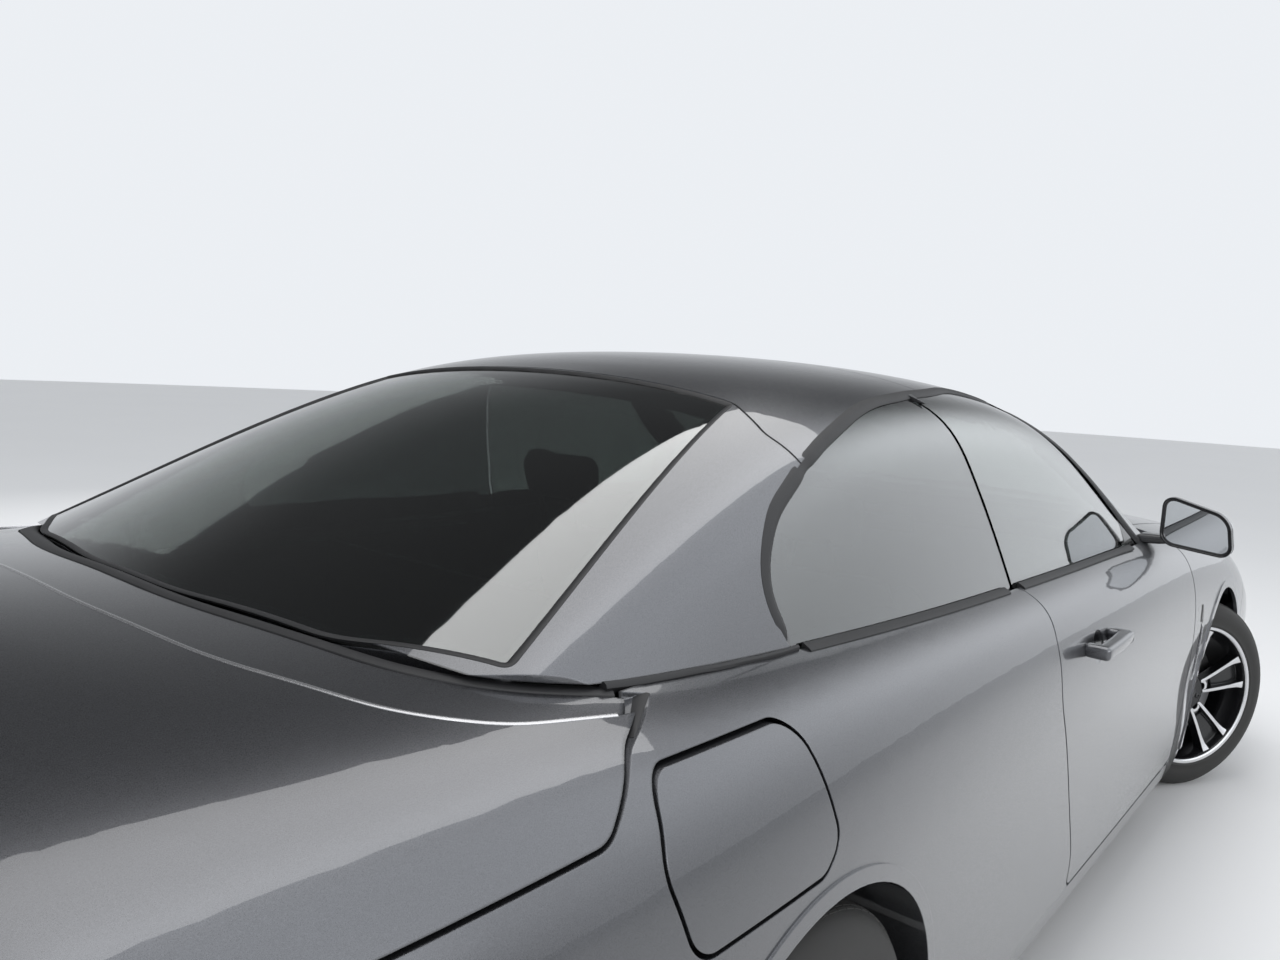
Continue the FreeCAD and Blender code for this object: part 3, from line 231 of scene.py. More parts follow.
for name, place, aim, width, height, watts in LAMPS:
    lamp = bpy.data.objects.new(name, bpy.data.lights.new(name, "AREA"))
    bpy.context.scene.collection.objects.link(lamp)
    lamp.data.shape = "RECTANGLE"
    lamp.data.size, lamp.data.size_y = width, height
    lamp.data.energy = watts
    lamp.visible_glossy = name != "lamp_left"
    lamp.location = place
    lamp.rotation_euler = (Vector(aim) - Vector(place)).to_track_quat("-Z", "Y").to_euler()
bpy.context.scene.view_settings.view_transform = "Standard"

# The painted panels: pressed steel and aluminium sheet, sprayed a dark metallic grey with a
# clear coat. Inside, the doors and walls are trimmed, and the roof carries its cloth lining.
PAINT = (0.084, 0.086, 0.093)
LINING = (0.05, 0.05, 0.053)
METALLIC = 0.85
FLAKE_SCALE, WEAVE_SCALE = 2600.0, 900.0
TRIMMED_INSIDE = {"door": 0.789, "wall": 0.722}     # the cabin's side of the skin, in y


def body_paint(name, lined=None):
    """The car's paint; lined names the side of the panel that faces the cabin."""
    paint = Finish(name, "body_paint", Coat_Roughness=0.02, Coat_IOR=1.5)
    flakes = paint.node(
        "TexVoronoi", {"feature": "F1"}, {"Vector": paint.place(), "Scale": FLAKE_SCALE}, out=1)
    glint = paint.axes(flakes)[0]
    tone = glint * 0.5 + paint.grain(2.0, 3.0) * 0.16 + 0.67
    colour = paint.node("VectorMath", {"operation": "SCALE"}, {0: PAINT, "Scale": tone})
    rough = glint * 0.12 + 0.24
    bump = paint.grain(420.0)
    metallic, coat = METALLIC, 1.0
    if lined:
        y = paint.axes()[1]
        if lined in TRIMMED_INSIDE:
            inside = 1.0 - abs(y).over(TRIMMED_INSIDE[lined], 0.001)
        else:
            normal = paint.axes(paint.node("NewGeometry", out=1))
            inside = (normal[2] * -1.0 - normal[1] * y.maths("SIGN", y) * 0.8).over(0.15, 0.1)
        outside = 1.0 - inside
        weave = paint.grain(WEAVE_SCALE)
        cloth = paint.node("VectorMath", {"operation": "SCALE"}, {0: LINING, "Scale": weave + 0.5})
        colour = paint.blend(inside, colour, cloth)
        rough = rough * outside + inside * 0.85
        metallic, coat = outside * METALLIC, outside
        bump = bump * outside + weave * inside * 2.0
    return paint.feed(
        Base_Color=colour, Roughness=rough, Metallic=metallic, Coat_Weight=coat,
        Normal=paint.bump(bump, 0.00002, 0.6, rounding=0.003))


put_on(body_paint("grey_paint"), "front_wing_left", "front_wing_right", "front_bumper",
       "rear_bumper", "bonnet", "boot_lid", "fuel_flap", "sills")
put_on(body_paint("grey_paint_doors", "door"), "door_left", "door_right")
put_on(body_paint("grey_paint_walls", "wall"), "quarter_panel_left", "quarter_panel_right")
put_on(body_paint("grey_paint_roof", "roof"), "roof_front", "roof_middle", "roof_rear",
       "windscreen_frame")

# Under the skin: welded floor, frames and axles of sheet and forged steel, electro-coated
# black with a dusty film.
steel = Finish("black_chassis", "chassis_paint", Metallic=0.3)
steel.two_tone(steel.grain(9.0, 6.0, 0.7), (0.018, 0.018, 0.019), (0.075, 0.07, 0.063), (0.35, 0.4))
steel.feed(Normal=steel.bump(steel.grain(240.0), 0.0004, 0.5, 0.002))
put_on(steel, "floor_and_bulkhead", "front_frame", "rear_body", "rear_axle", "knuckle_left",
       "knuckle_right")

# The glass: tempered green-grey panes 4 to 5 mm thick, darker behind the front seats. The
# windscreen and the rear window are bonded to their frames, the others bear on rubber.
for name, tint, panes in (
        ("tinted_glass", (0.42, 0.47, 0.44), (
            "windscreen", "door_window_left", "door_window_right")),
        ("dark_glass", (0.16, 0.19, 0.18), ("rear_window", "quarter_windows"))):
    glass = Finish(name, "tinted_glass", Roughness=0.0, IOR=1.5, Transmission_Weight=1.0,
                   Coat_Weight=1.0, Coat_IOR=1.8)
    put_on(glass.two_tone(glass.grain(1.5), tint, tuple(0.9 * part for part in tint)), *panes)

# Rubber seals: black extruded rubber, glued to the roof frames all round the side windows
# and along the waist of the doors, where its lip wipes the glass.
rubber = Finish("black_rubber", Specular_IOR_Level=0.35)
skin = rubber.grain(700.0, 3.0)
rubber.two_tone(rubber.grain(14.0, 3.0), (0.010, 0.010, 0.011), (0.020, 0.020, 0.021))
rubber.feed(Roughness=skin * 0.2 + 0.45, Normal=rubber.bump(skin, 0.0001, 0.6))
HANDS = (("right", -1), ("left", 1))
WINDOW_LINE = (
    # x, z and corner radius along the roof rail, from the mirror to the foot of the rear pillar
    (722, 930, 0), (700, 945, 20), (72, 1302, 300), (-150, 1338, 1500), (-466, 1325, 0),
    (-700, 1306, 1600), (-940, 1236, 1100), (-1122, 1146, 190), (-1184, 1050, 160),
    (-1128, 940, 20), (-1105, 936, 0))
RAIL_PROFILE = ((-1, -3), (-1, 0.6), (3, 1.6), (12, 1.4), (22, -2.5), (24, -5.5), (10, -7))
WAIST_PROFILE = ((0.3, -3), (0.3, 9), (3, 9.5), (14, 3.5), (17, 1), (17, -3))
FRAMES = ("windscreen_frame", "roof_front", "roof_middle", "roof_rear")
LINE_STEP = 0.02
AHEAD, BESIDE, OVERHEAD = 3.0, 1.3, 1.7     # clear of the car, in x, y and z
PANE_LOW, PANE_HIGH = 0.99, 1.02


def rounded(corners):
    """The points of an open line whose corners are rounded, in metres, and its left normals."""
    line = []
    for i, (x, z, radius) in enumerate(corners):
        here = Vector((x, z)) / 1000
        if i in (0, len(corners) - 1) or radius == 0:
            line.append(here)
            continue
        back = Vector(corners[i - 1][:2]) / 1000 - here
        on = Vector(corners[i + 1][:2]) / 1000 - here
        half = back.angle(on) / 2
        reach = min(radius / 1000 / math.tan(half), 0.49 * back.length, 0.49 * on.length)
        start, end = here + back.normalized() * reach, here + on.normalized() * reach
        for k in range(9):
            t = k / 8
            line.append(start * (1 - t) ** 2 + here * 2 * t * (1 - t) + end * t ** 2)
    points = [line[0]]
    for a, b in zip(line, line[1:]):
        count = max(1, math.ceil((b - a).length / LINE_STEP))
        points += [a.lerp(b, (k + 1) / count) for k in range(count)]
    sides = []
    for i in range(len(points)):
        along = points[min(i + 1, len(points) - 1)] - points[max(i - 1, 0)]
        sides.append(Vector((-along.y, along.x)).normalized())
    return points, sides


def touch(start, way, names):
    """The first point and normal that a ray meets on the named pieces, or None."""
    start, way, best = Vector(start), Vector(way), None
    for name in names:
        hit, point, normal, _ = bpy.data.objects[name].ray_cast(start, way)
        if hit and (best is None or (point - start).length < (best[0] - start).length):
            best = (point, normal.normalized())
    return best


def from_side(x, z, hand, *names):
    return touch((x, hand * BESIDE, z), (0, -hand, 0), names)


def from_above(x, y, *names):
    return touch((x, y, OVERHEAD), (0, 0, -1), names)


def flat_on(way, normal):
    """A direction laid flat on the surface with that normal."""
    return (way - normal * way.dot(normal)).normalized()


def strip(name, route, profile, finish, body="body", closed=False):
    """A moulding along a route of (point, across, up), with a profile of (across, up) in mm."""
    count = len(route) if closed else len(route) - 1
    bpy.ops.object.select_all(action="DESELECT")
    bpy.ops.mesh.primitive_grid_add(
        x_subdivisions=count, y_subdivisions=len(profile), size=2.0)
    piece = bpy.context.object
    piece.name = name
    for vertex in piece.data.vertices:
        i = round((vertex.co.x + 1) / 2 * count) % len(route)
        j = round((vertex.co.y + 1) / 2 * len(profile)) % len(profile)
        point, across, up = route[i]
        vertex.co = point + across * (profile[j][0] / 1000) + up * (profile[j][1] / 1000)
    bpy.ops.object.mode_set(mode="EDIT")
    bpy.ops.mesh.select_all(action="SELECT")
    bpy.ops.mesh.remove_doubles(threshold=0.00001)
    if not closed:
        bpy.ops.mesh.fill_holes(sides=len(profile))
    bpy.ops.mesh.normals_make_consistent(inside=False)
    bpy.ops.object.mode_set(mode="OBJECT")
    bpy.ops.object.shade_smooth_by_angle(angle=math.radians(40))
    piece.data.materials.append(finish.material)
    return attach(piece, body)


def smoothed(route, rounds=3):
    """The same route with its points and directions evened out."""
    for _ in range(rounds):
        route = [route[0]] + [
            tuple((a + 2 * b + c) / 4 for a, b, c in zip(before, here, after))
            for before, here, after in zip(route, route[1:], route[2:])] + [route[-1]]
    return [(p, across.normalized(), up.normalized()) for p, across, up in route]


def waist_route(panel, pane, hand, x0, x1, steps=40):
    """Where a pane comes out of its panel, from x0 to x1."""
    route = []
    for k in range(steps + 1):
        x = x0 + (x1 - x0) * k / steps
        low, high = from_side(x, PANE_LOW, hand, pane), from_side(x, PANE_HIGH, hand, pane)
        if low and high:
            lean = (low[0].y - high[0].y) / (PANE_HIGH - PANE_LOW)
            top = from_above(x, low[0].y + lean * 0.035 + hand * 0.012, panel)
            if top:
                spot = Vector((x, low[0].y + lean * (PANE_LOW - top[0].z), top[0].z))
                route.append((spot, Vector((0, hand, 0)), Vector((0, 0, 1))))
    return smoothed(route)


line, sides = rounded(WINDOW_LINE)
for side, hand in HANDS:
    route = []
    for point, out in zip(line, sides):
        found = from_side(*(point - out * 0.010), hand, *FRAMES)
        if found and found[1].y * hand >= 0.2:
            route.append((found[0], flat_on(Vector((out.x, 0, out.y)), found[1]), found[1]))
    strip("seal_rail_" + side, smoothed(route), RAIL_PROFILE, rubber)
    door = "door_" + side
    strip("seal_waist_" + door, waist_route(door, "door_window_" + side, hand, -0.300, 0.690),
          WAIST_PROFILE, rubber, door)
    strip("seal_waist_quarter_" + side, waist_route(
        "quarter_panel_" + side, "quarter_windows", hand, -1.118, -0.338), WAIST_PROFILE, rubber)

# The bonded panes: the rear window lies in a rubber bed that runs down to the boot lid, and
# the windscreen in one that ends at the scuttle.
PANES = (
    # name, frame it lies in, (x, y, corner radius) outline, mm of rubber on the glass
    ("rear_window", "roof_rear", (
        (-932, 0, 0), (-932, 480, 12), (-1592, 642, 18), (-1692, 430, 250), (-1736, 130, 900),
        (-1736, 0, 0)), 9),
    ("windscreen", "windscreen_frame", (
        (170, 0, 0), (170, 596, 30), (770, 716, 30), (862, 420, 300), (890, 100, 800),
        (890, 0, 0)), 12))
for name, bed, half_line, on_glass in PANES:
    loop = list(zip(*rounded(half_line)))
    centre = Vector(((loop[0][0].x + loop[-1][0].x) / 2, 0))
    twins = [(Vector((p.x, -p.y)), Vector((o.x, -o.y))) for p, o in reversed(loop[1:-1])]
    route = []
    for point, out in loop + twins:
        out = out if out.dot(centre - point) > 0 else -out
        for reach in (0.008, 0.004, -0.010):
            spot = from_above(*(point - out * reach), bed, name)
            if spot and spot[1].z > 0.3:
                break
        base, normal = spot
        way = Vector((out.x, out.y, 0))
        base = base + way * reach
        base.z -= (normal.x * out.x + normal.y * out.y) * reach / normal.z
        if reach < 0:
            base += normal * 0.004
        route.append((base, flat_on(way, normal), normal))
    strip("seal_" + name, route, (
        (-2, -3), (-2, 0.5), (0, 1.0), (on_glass - 2, -2.0), (on_glass, -3.7), (2, -6)),
          rubber, closed=True)

# Black moulded plastic: grained polypropylene for the scuttle and the lower body, piano black
# for the grille, and a softer, finer skin for the dashboard and the door pads.
def moulded(name, dark, light, grain, rough, depth):
    """Grained plastic between two shades."""
    plastic = Finish(name)
    pebble = plastic.grain(grain)
    plastic.two_tone(plastic.grain(22.0, 3.0), dark, light)
    return plastic.feed(
        Roughness=pebble * 0.16 + rough, Normal=plastic.bump(pebble, depth, 0.7, 0.002))


outer_trim = moulded(
    "grained_trim", (0.012, 0.012, 0.013), (0.024, 0.024, 0.025), 900.0, 0.42, 0.00012)
gloss_trim = moulded(
    "gloss_trim", (0.006, 0.006, 0.007), (0.009, 0.009, 0.010), 60.0, 0.05, 0.000004)
soft_trim = moulded(
    "soft_dashboard", (0.016, 0.016, 0.018), (0.030, 0.030, 0.032), 420.0, 0.52, 0.00030)
put_on(outer_trim, "scuttle")
put_on(gloss_trim, "grille")
put_on(soft_trim, "dashboard", "steering_wheel")

# The engine under its plain cast cover, and the exhaust: welded stainless tube, straw and
# blue where it runs hot, with two polished tail pipes.
cast = Finish("cast_alloy", "cast_metal", Metallic=0.8)
cast.two_tone(cast.grain(160.0, 4.0, 0.6), (0.18, 0.18, 0.185), (0.36, 0.36, 0.365), (0.3, 0.4),
              (0.0006, 0.7, 0.004))
put_on(cast, "engine_block")
pipework = Finish("exhaust_steel", "steel", Metallic=1.0)
heat = pipework.grain(5.0, 3.0) * 0.4 + (pipework.axes()[0] * 0.35 + 0.35)
streaks = pipework.grain(340.0)
pipework.feed(
    Base_Color=pipework.node("ValToRGB", {"stops": (
        (0.0, (0.52, 0.51, 0.50)), (0.45, (0.46, 0.42, 0.36)), (0.75, (0.33, 0.26, 0.20)),
        (1.0, (0.22, 0.22, 0.28)))}, {0: heat}),
    Roughness=streaks * 0.2 + 0.3, Normal=pipework.bump(streaks, 0.0001, 0.5))
put_on(pipework, "exhaust")

# Tyres: 19-inch road tyres, 225 wide in front and 255 behind, with ribs cut into blocks, a
# rounded shoulder and a rim guard that stands out from the sidewall.
FRONT_WHEEL = (1.536, 0.7725, 0.331, 0.225)     # axle x, centre y, centre z, tyre width
REAR_WHEEL = (-1.274, 0.778, 0.331, 0.255)
STEERED = math.radians(-31.0)
KINGPIN_Y = 0.742
TREAD_BLOCKS = 76
GROOVE_FLOOR, TREAD_TOP = 0.3215, 0.3286
BLOCK_EDGE, BLOCK_RISE = 0.0013, 0.0022
black_tyre = Finish("tyre_rubber", "tyre", Specular_IOR_Level=0.4)
black_tyre.two_tone(
    black_tyre.grain(26.0, 5.0, 0.65), (0.011, 0.011, 0.011), (0.034, 0.033, 0.031), (0.25, 0.6))
black_tyre.feed(Normal=black_tyre.bump(black_tyre.grain(900.0), 0.0003, 0.6))


def turned(name, profile, steps, sweep=math.tau):
    """A closed profile of (across, radius) in metres, spun round the wheel's own axle, Y."""
    bpy.ops.object.select_all(action="DESELECT")
    bpy.ops.mesh.primitive_circle_add(vertices=len(profile), radius=0.1)
    piece = bpy.context.object
    piece.name = name
    for vertex, (across, radius) in zip(piece.data.vertices, profile):
        vertex.co = (0.0, across, radius)
    bpy.ops.object.mode_set(mode="EDIT")
    bpy.ops.mesh.select_all(action="SELECT")
    bpy.ops.mesh.spin(steps=steps, angle=sweep, center=(0, 0, 0), axis=(0, 1, 0))
    bpy.ops.mesh.select_all(action="SELECT")
    bpy.ops.mesh.remove_doubles(threshold=0.00002)
    if sweep < math.tau:
        bpy.ops.mesh.fill_holes(sides=len(profile))
    bpy.ops.mesh.normals_make_consistent(inside=False)
    bpy.ops.mesh.select_all(action="DESELECT")
    bpy.ops.object.mode_set(mode="OBJECT")
    return piece


def choose(wanted):
    """In edit mode, selects the faces that wanted(face) accepts."""
    bpy.ops.mesh.select_mode(type="FACE")
    bpy.ops.mesh.select_all(action="DESELECT")
    mesh = bmesh.from_edit_mesh(bpy.context.object.data)
    for face in mesh.faces:
        if wanted(face):
            face.select_set(True)
    bmesh.update_edit_mesh(bpy.context.object.data)


def alone(piece):
    """Makes the piece the only one selected."""
    bpy.ops.object.select_all(action="DESELECT")
    piece.select_set(True)
    bpy.context.view_layer.objects.active = piece
    return piece


def opened(piece):
    """Opens the piece for editing, on its own."""
    alone(piece)
    bpy.ops.object.mode_set(mode="EDIT")
    return piece


def done():
    bpy.ops.object.mode_set(mode="OBJECT")
    return bpy.context.object


def dress(piece, *finishes, sharp=35):
    """Smooths the piece up to the sharp angle and gives it its finishes."""
    alone(piece)
    bpy.ops.object.transform_apply(location=True, rotation=True, scale=True)
    bpy.ops.object.shade_smooth_by_angle(angle=math.radians(sharp))
    for finish in finishes[len(piece.data.materials):]:
        piece.data.materials.append(finish.material)
    return piece


def finished(piece, kind, **settings):
    """Adds a modifier of that kind and applies it."""
    alone(piece)
    modifier = piece.modifiers.new("work", kind)
    for key, value in settings.items():
        setattr(modifier, key, value)
    bpy.ops.object.modifier_apply(modifier="work")
    return piece


def eased(width, segments=2, angle=30):
    """Ends the editing and rounds the piece's edges."""
    return finished(
        done(), "BEVEL", width=width, segments=segments, angle_limit=math.radians(angle))


def copied(piece, name):
    twin = piece.copy()
    twin.data = piece.data.copy()
    twin.name = name
    bpy.context.scene.collection.objects.link(twin)
    return twin


def placed(piece, at=(0, 0, 0), angle=0.0, axis="Y"):
    """Turns the piece's mesh about an axis through the origin, then moves it."""
    piece.data.transform(Matrix.Translation(at) @ Matrix.Rotation(angle, 4, axis))
    return piece


def other_side(piece, name):
    """A copy for the car's other side, mirrored in its middle plane."""
    twin = copied(piece, name)
    twin.data.transform(Matrix.Scale(-1, 4, Vector((0, 1, 0))))
    twin.data.flip_normals()
    return twin


def joined(pieces, name):
    alone(pieces[0])
    for piece in pieces:
        piece.select_set(True)
    if len(pieces) > 1:
        bpy.ops.object.join()
    pieces[0].name = name
    return pieces[0]


def four_wheels(kind, make, replaced=True, turning=True):
    """Makes one front and one rear piece, outer side towards -Y, and a copy for each wheel,
    which takes a tyre's or rim's place if replaced, and stays on its carrier if not turning."""
    for axle, (x, y, z, width) in (("front", FRONT_WHEEL), ("rear", REAR_WHEEL)):
        pattern = make(width)
        for side, hand in HANDS:
            name = "%s_%s_%s" % (kind, axle, side)
            piece = (other_side if hand > 0 else copied)(pattern, name + "_detail")
            placed(piece, (x, hand * y, z))
            carrier = "body"
            if axle == "front":
                pin = Matrix.Translation((x, hand * KINGPIN_Y, 0.0))
                piece.data.transform(pin @ Matrix.Rotation(STEERED, 4, "Z") @ pin.inverted())
                carrier = "knuckle_" + side
            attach(piece, "wheel_%s_%s" % (axle, side) if turning else carrier)
            if replaced:
                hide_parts(name)
        bpy.data.objects.remove(pattern)


def off_axle(face):
    """How far a face's middle is from the wheel's axle."""
    middle = face.calc_center_median()
    return math.hypot(middle.x, middle.z)


def make_tyre(width):
    half = width / 2
    side = [(half - 0.013, 0.2306), (half - 0.004, 0.240), (half, 0.250), (half - 0.003, 0.256),
            (half - 0.001, 0.270), (half - 0.002, 0.286), (half - 0.008, 0.304),
            (half - 0.017, 0.3165), (half - 0.026, 0.3235), (half - 0.032, 0.3262)]
    ribs = []
    for k in (3, 1, -1, -3):
        groove = k * (half - 0.034) / 4.2
        top = TREAD_TOP - 0.8 * abs(groove / half) ** 4 * 0.003
        ribs += [(groove + 0.0055, top), (groove + 0.004, GROOVE_FLOOR),
                 (groove - 0.004, GROOVE_FLOOR), (groove - 0.0055, top)]
    back = [(-across, radius) for across, radius in reversed(side)]
    tyre = turned("tyre_pattern", side + ribs + back, TREAD_BLOCKS)
    opened(tyre)
    choose(lambda face: abs(face.normal.y) < 0.5 and off_axle(face) > 0.3245)
    bpy.ops.mesh.inset(thickness=BLOCK_EDGE, depth=0.0, use_individual=True)
    bpy.ops.mesh.extrude_region_shrink_fatten(TRANSFORM_OT_shrink_fatten={"value": BLOCK_RISE})
    done()
    for polygon in tyre.data.polygons:
        polygon.select = False
    return dress(tyre, black_tyre, sharp=40)


four_wheels("tyre", make_tyre)

# Rims: cast alloy with five pairs of slender spokes, each pair joined in a U at the hub.
# Painted black, then turned bright on the spokes' faces and the flange. Five bolts, a bare cap.
SPOKE_PAIRS = 5
BRIGHT_EDGE, BRIGHT_CUT = 0.0012, 0.0007
black_rim = moulded("rim_black", (0.006, 0.006, 0.007), (0.011, 0.011, 0.012), 400.0, 0.12, 0.00001)
bright_rim = Finish("rim_turned", "rim", Metallic=1.0, Coat_Weight=0.6, Coat_Roughness=0.05)
bright_rim.two_tone(bright_rim.grain(2400.0, 1.0), (0.50, 0.50, 0.51), (0.72, 0.72, 0.73),
                    (0.14, 0.16), (0.00003, 0.5))


def block(name, low, high):
    """A box primitive between two corners, in metres, left open for editing."""
    bpy.ops.object.select_all(action="DESELECT")
    bpy.ops.mesh.primitive_cube_add(size=1, location=[(a + b) / 2 for a, b in zip(low, high)])
    piece = bpy.context.object
    piece.name = name
    piece.scale = [b - a for a, b in zip(low, high)]
    bpy.ops.object.transform_apply(location=True, rotation=True, scale=True)
    return opened(piece)


def faces(way, least=0.9):
    """A test for faces that look that way, such as "+z"."""
    sign, axis = (1 if way[0] == "+" else -1), "xyz".index(way[1])
    return lambda face: face.normal[axis] * sign > least


def reshape(wanted=None, move=(0, 0, 0), scale=(1, 1, 1), pull=False, inset=0.0):
    """Moves and scales the faces wanted, or those last selected; pull extrudes them."""
    if wanted:
        choose(wanted)
    if inset:
        bpy.ops.mesh.inset(thickness=inset, depth=0.0)
    if pull:
        bpy.ops.mesh.extrude_region_move(TRANSFORM_OT_translate={"value": move})
    elif any(move):
        bpy.ops.transform.translate(value=move)
    if scale != (1, 1, 1):
        mesh = bmesh.from_edit_mesh(bpy.context.object.data)
        picked = [vertex.co for vertex in mesh.verts if vertex.select]
        bpy.ops.transform.resize(value=scale, center_override=sum(picked, Vector()) / len(picked))


def pulled(wanted, *steps):
    """Pulls the faces wanted out in steps of (move, scale)."""
    choose(wanted)
    for move, scale in steps:
        reshape(pull=True, move=move, scale=scale)


def number_faces(rule):
    """Gives each face of the open piece the material number that rule(face) returns."""
    mesh = bmesh.from_edit_mesh(bpy.context.object.data)
    for face in mesh.faces:
        face.material_index = rule(face)
    bmesh.update_edit_mesh(bpy.context.object.data)


def take(piece, *finishes):
    for finish in finishes:
        piece.data.materials.append(finish.material)
    return piece


def drawn(name, face, stations):
    """A bar pulled along Z through stations of (z, x, half width, front, back); both from face."""
    z, x, half, front, back = stations[0]
    block(name, (x - half, face + front, z - 0.001), (x + half, face + back, z))
    pulled(faces("+z"), *(
        ((b[1] - a[1], (b[3] + b[4] - a[3] - a[4]) / 2, b[0] - a[0]),
         (b[2] / a[2], (b[4] - b[3]) / (a[4] - a[3]), 1)) for a, b in zip(stations, stations[1:])))


def turned_bright():
    """Insets the bar's front and cuts it level, as the lathe does; the cut faces are bright."""
    reshape(faces("-y", 0.8), inset=BRIGHT_EDGE, move=(0, -BRIGHT_CUT, 0))
    number_faces(lambda face: 1 if face.select else 0)
    return done()


def make_rim(width):
    half = width / 2
    lip = -half + 0.002
    face = -half + 0.022
    barrel = turned("rim_barrel", [
        (lip, 0.2424), (lip - 0.0004, 0.2395), (lip + 0.0004, 0.2330), (lip + 0.004, 0.2300),
        (lip + 0.012, 0.2265), (lip + 0.030, 0.2235), (lip + 0.060, 0.2170), (half - 0.014, 0.2220),
        (half - 0.004, 0.2280), (half - 0.002, 0.2424), (half - 0.006, 0.2426),
        (half - 0.010, 0.2305), (lip + 0.010, 0.2305), (lip + 0.005, 0.2426)], 120)
    hub = turned("rim_hub", [
        (face + 0.019, 0.0), (face + 0.017, 0.026), (face + 0.015, 0.046), (face + 0.0135, 0.060),
        (face + 0.017, 0.067), (face + 0.032, 0.074), (-0.034, 0.074), (-0.034, 0.0)], 60)
    cap = turned("rim_cap", [
        (face + 0.0085, 0.0), (face + 0.009, 0.024), (face + 0.0105, 0.0295), (face + 0.013, 0.031),
        (face + 0.024, 0.031), (face + 0.024, 0.0)], 48)
    block("rim_bolt", (-0.0085, face + 0.0135, 0.0380), (0.0085, face + 0.026, 0.0550))
    pulled(faces("-y"), ((0, -0.003, 0), (0.72, 1, 0.72)))
    reshape(move=(0, 0.0035, 0), inset=0.002, pull=True)
    bolt = eased(0.002)
    drawn("rim_spoke", face, (
        (0.060, 0.0185, 0.0060, 0.0125, 0.040), (0.080, 0.0225, 0.0062, 0.009, 0.038),
        (0.120, 0.0300, 0.0065, 0.005, 0.036), (0.170, 0.0395, 0.0068, 0.002, 0.034),
        (0.200, 0.0450, 0.0090, -0.001, 0.032), (0.2275, 0.0510, 0.0150, -0.010, 0.034)))
    spoke = turned_bright()
    bend = turned("rim_bend", [
        (face + 0.012, 0.0125), (face + 0.012, 0.0245), (face + 0.040, 0.0265),
        (face + 0.040, 0.0105)], 12, math.pi)
    opened(placed(bend, (0, 0, 0.0600), math.pi / 2))
    turned_bright()
    drawn("rim_web", face, (
        (0.112, 0.0, 0.026, 0.022, 0.034), (0.150, 0.0, 0.033, 0.016, 0.031),
        (0.190, 0.0, 0.041, 0.012, 0.029), (0.2270, 0.0, 0.050, 0.010, 0.028)))
    reshape(faces("-y", 0.8), inset=0.006, move=(0, 0.004, 0))
    web = done()
    for piece in (barrel, hub, cap, bolt, web, spoke, bend):
        take(piece, black_rim, bright_rim)
    for polygon in barrel.data.polygons:
        middle = polygon.center
        on_flange = middle.y < lip + 0.003 and math.hypot(middle.x, middle.z) > 0.231
        polygon.material_index = 1 if on_flange else 0
    other_spoke = copied(spoke, "rim_spoke_other")
    other_spoke.data.transform(Matrix.Scale(-1, 4, Vector((1, 0, 0))))
    other_spoke.data.flip_normals()
    pieces = [barrel, hub, cap]
    for k in range(SPOKE_PAIRS):
        for pattern, place in ((spoke, k), (other_spoke, k), (bend, k), (web, k), (bolt, k + 0.5)):
            pieces.append(placed(copied(pattern, "rim_part"), angle=math.tau * place / SPOKE_PAIRS))
    for pattern in (spoke, other_spoke, bend, web, bolt):
        bpy.data.objects.remove(pattern)
    return dress(joined(pieces, "rim_pattern"), sharp=30)


four_wheels("rim", make_rim)

# Brakes: iron discs with a bright swept face that turn with the wheels, and plain cast
# calipers that stay on the knuckles in front and on the hub carriers behind.
CALIPER_SPAN = math.radians(58)
BEHIND_AXLE = math.radians(180 + 90 + 29)
disc_iron = Finish("disc_iron", "steel", Metallic=1.0)
disc_iron.two_tone(disc_iron.grain(1500.0), (0.30, 0.30, 0.31), (0.50, 0.50, 0.51), (0.2, 0.25),
                   (0.00004, 0.6))


def make_disc(_):
    return dress(turned("disc_pattern", [
        (-0.033, 0.060), (-0.033, 0.086), (-0.020, 0.090), (-0.019, 0.170), (-0.0175, 0.172),
        (-0.012, 0.172), (-0.010, 0.168), (-0.006, 0.168), (-0.004, 0.172), (0.0015, 0.172),
        (0.003, 0.170), (0.003, 0.095), (-0.010, 0.060)], 96), disc_iron)


def make_caliper(_):
    """Straddles the disc behind the axle; its bridge passes outside the disc's edge."""
    caliper = turned("caliper_pattern", [
        (-0.044, 0.112), (-0.048, 0.130), (-0.047, 0.164), (-0.036, 0.186), (-0.008, 0.193),
        (0.018, 0.188), (0.030, 0.166), (0.030, 0.112), (0.008, 0.112), (0.008, 0.176),
        (-0.024, 0.176), (-0.024, 0.112)], 10, CALIPER_SPAN)
    opened(placed(caliper, angle=BEHIND_AXLE))
    reshape(lambda face: face.normal.y < -0.7 and off_axle(face) > 0.125,
            inset=0.007, move=(0, 0.003, 0))
    return dress(eased(0.0025, 2, 35), cast)


four_wheels("disc", make_disc, replaced=False)
four_wheels("caliper", make_caliper, replaced=False, turning=False)

# Door mirrors: a painted cap over a gloss black housing, the silvered glass set in from its
# rim, a slim clear indicator along the cap's outer edge, and a black foot on the door's corner.
silvering = Finish("mirror_glass", "steel", Metallic=1.0, Coat_Weight=1.0, Coat_Roughness=0.01)
silvering.two_tone(silvering.grain(9.0), (0.62, 0.64, 0.66), (0.70, 0.72, 0.74), (0.02, 0.01))
indicator = Finish("indicator_lens", "lamp_clear", Coat_Weight=1.0, Coat_Roughness=0.02)
flute = indicator.bands("Z", 90.0)
indicator.two_tone(flute, (0.30, 0.30, 0.31), (0.62, 0.62, 0.63), (0.1, 0.1), (0.0004, 0.8))
indicator.feed(Metallic=flute * 0.4 + 0.4)
mirror_paint = body_paint("mirror_paint")


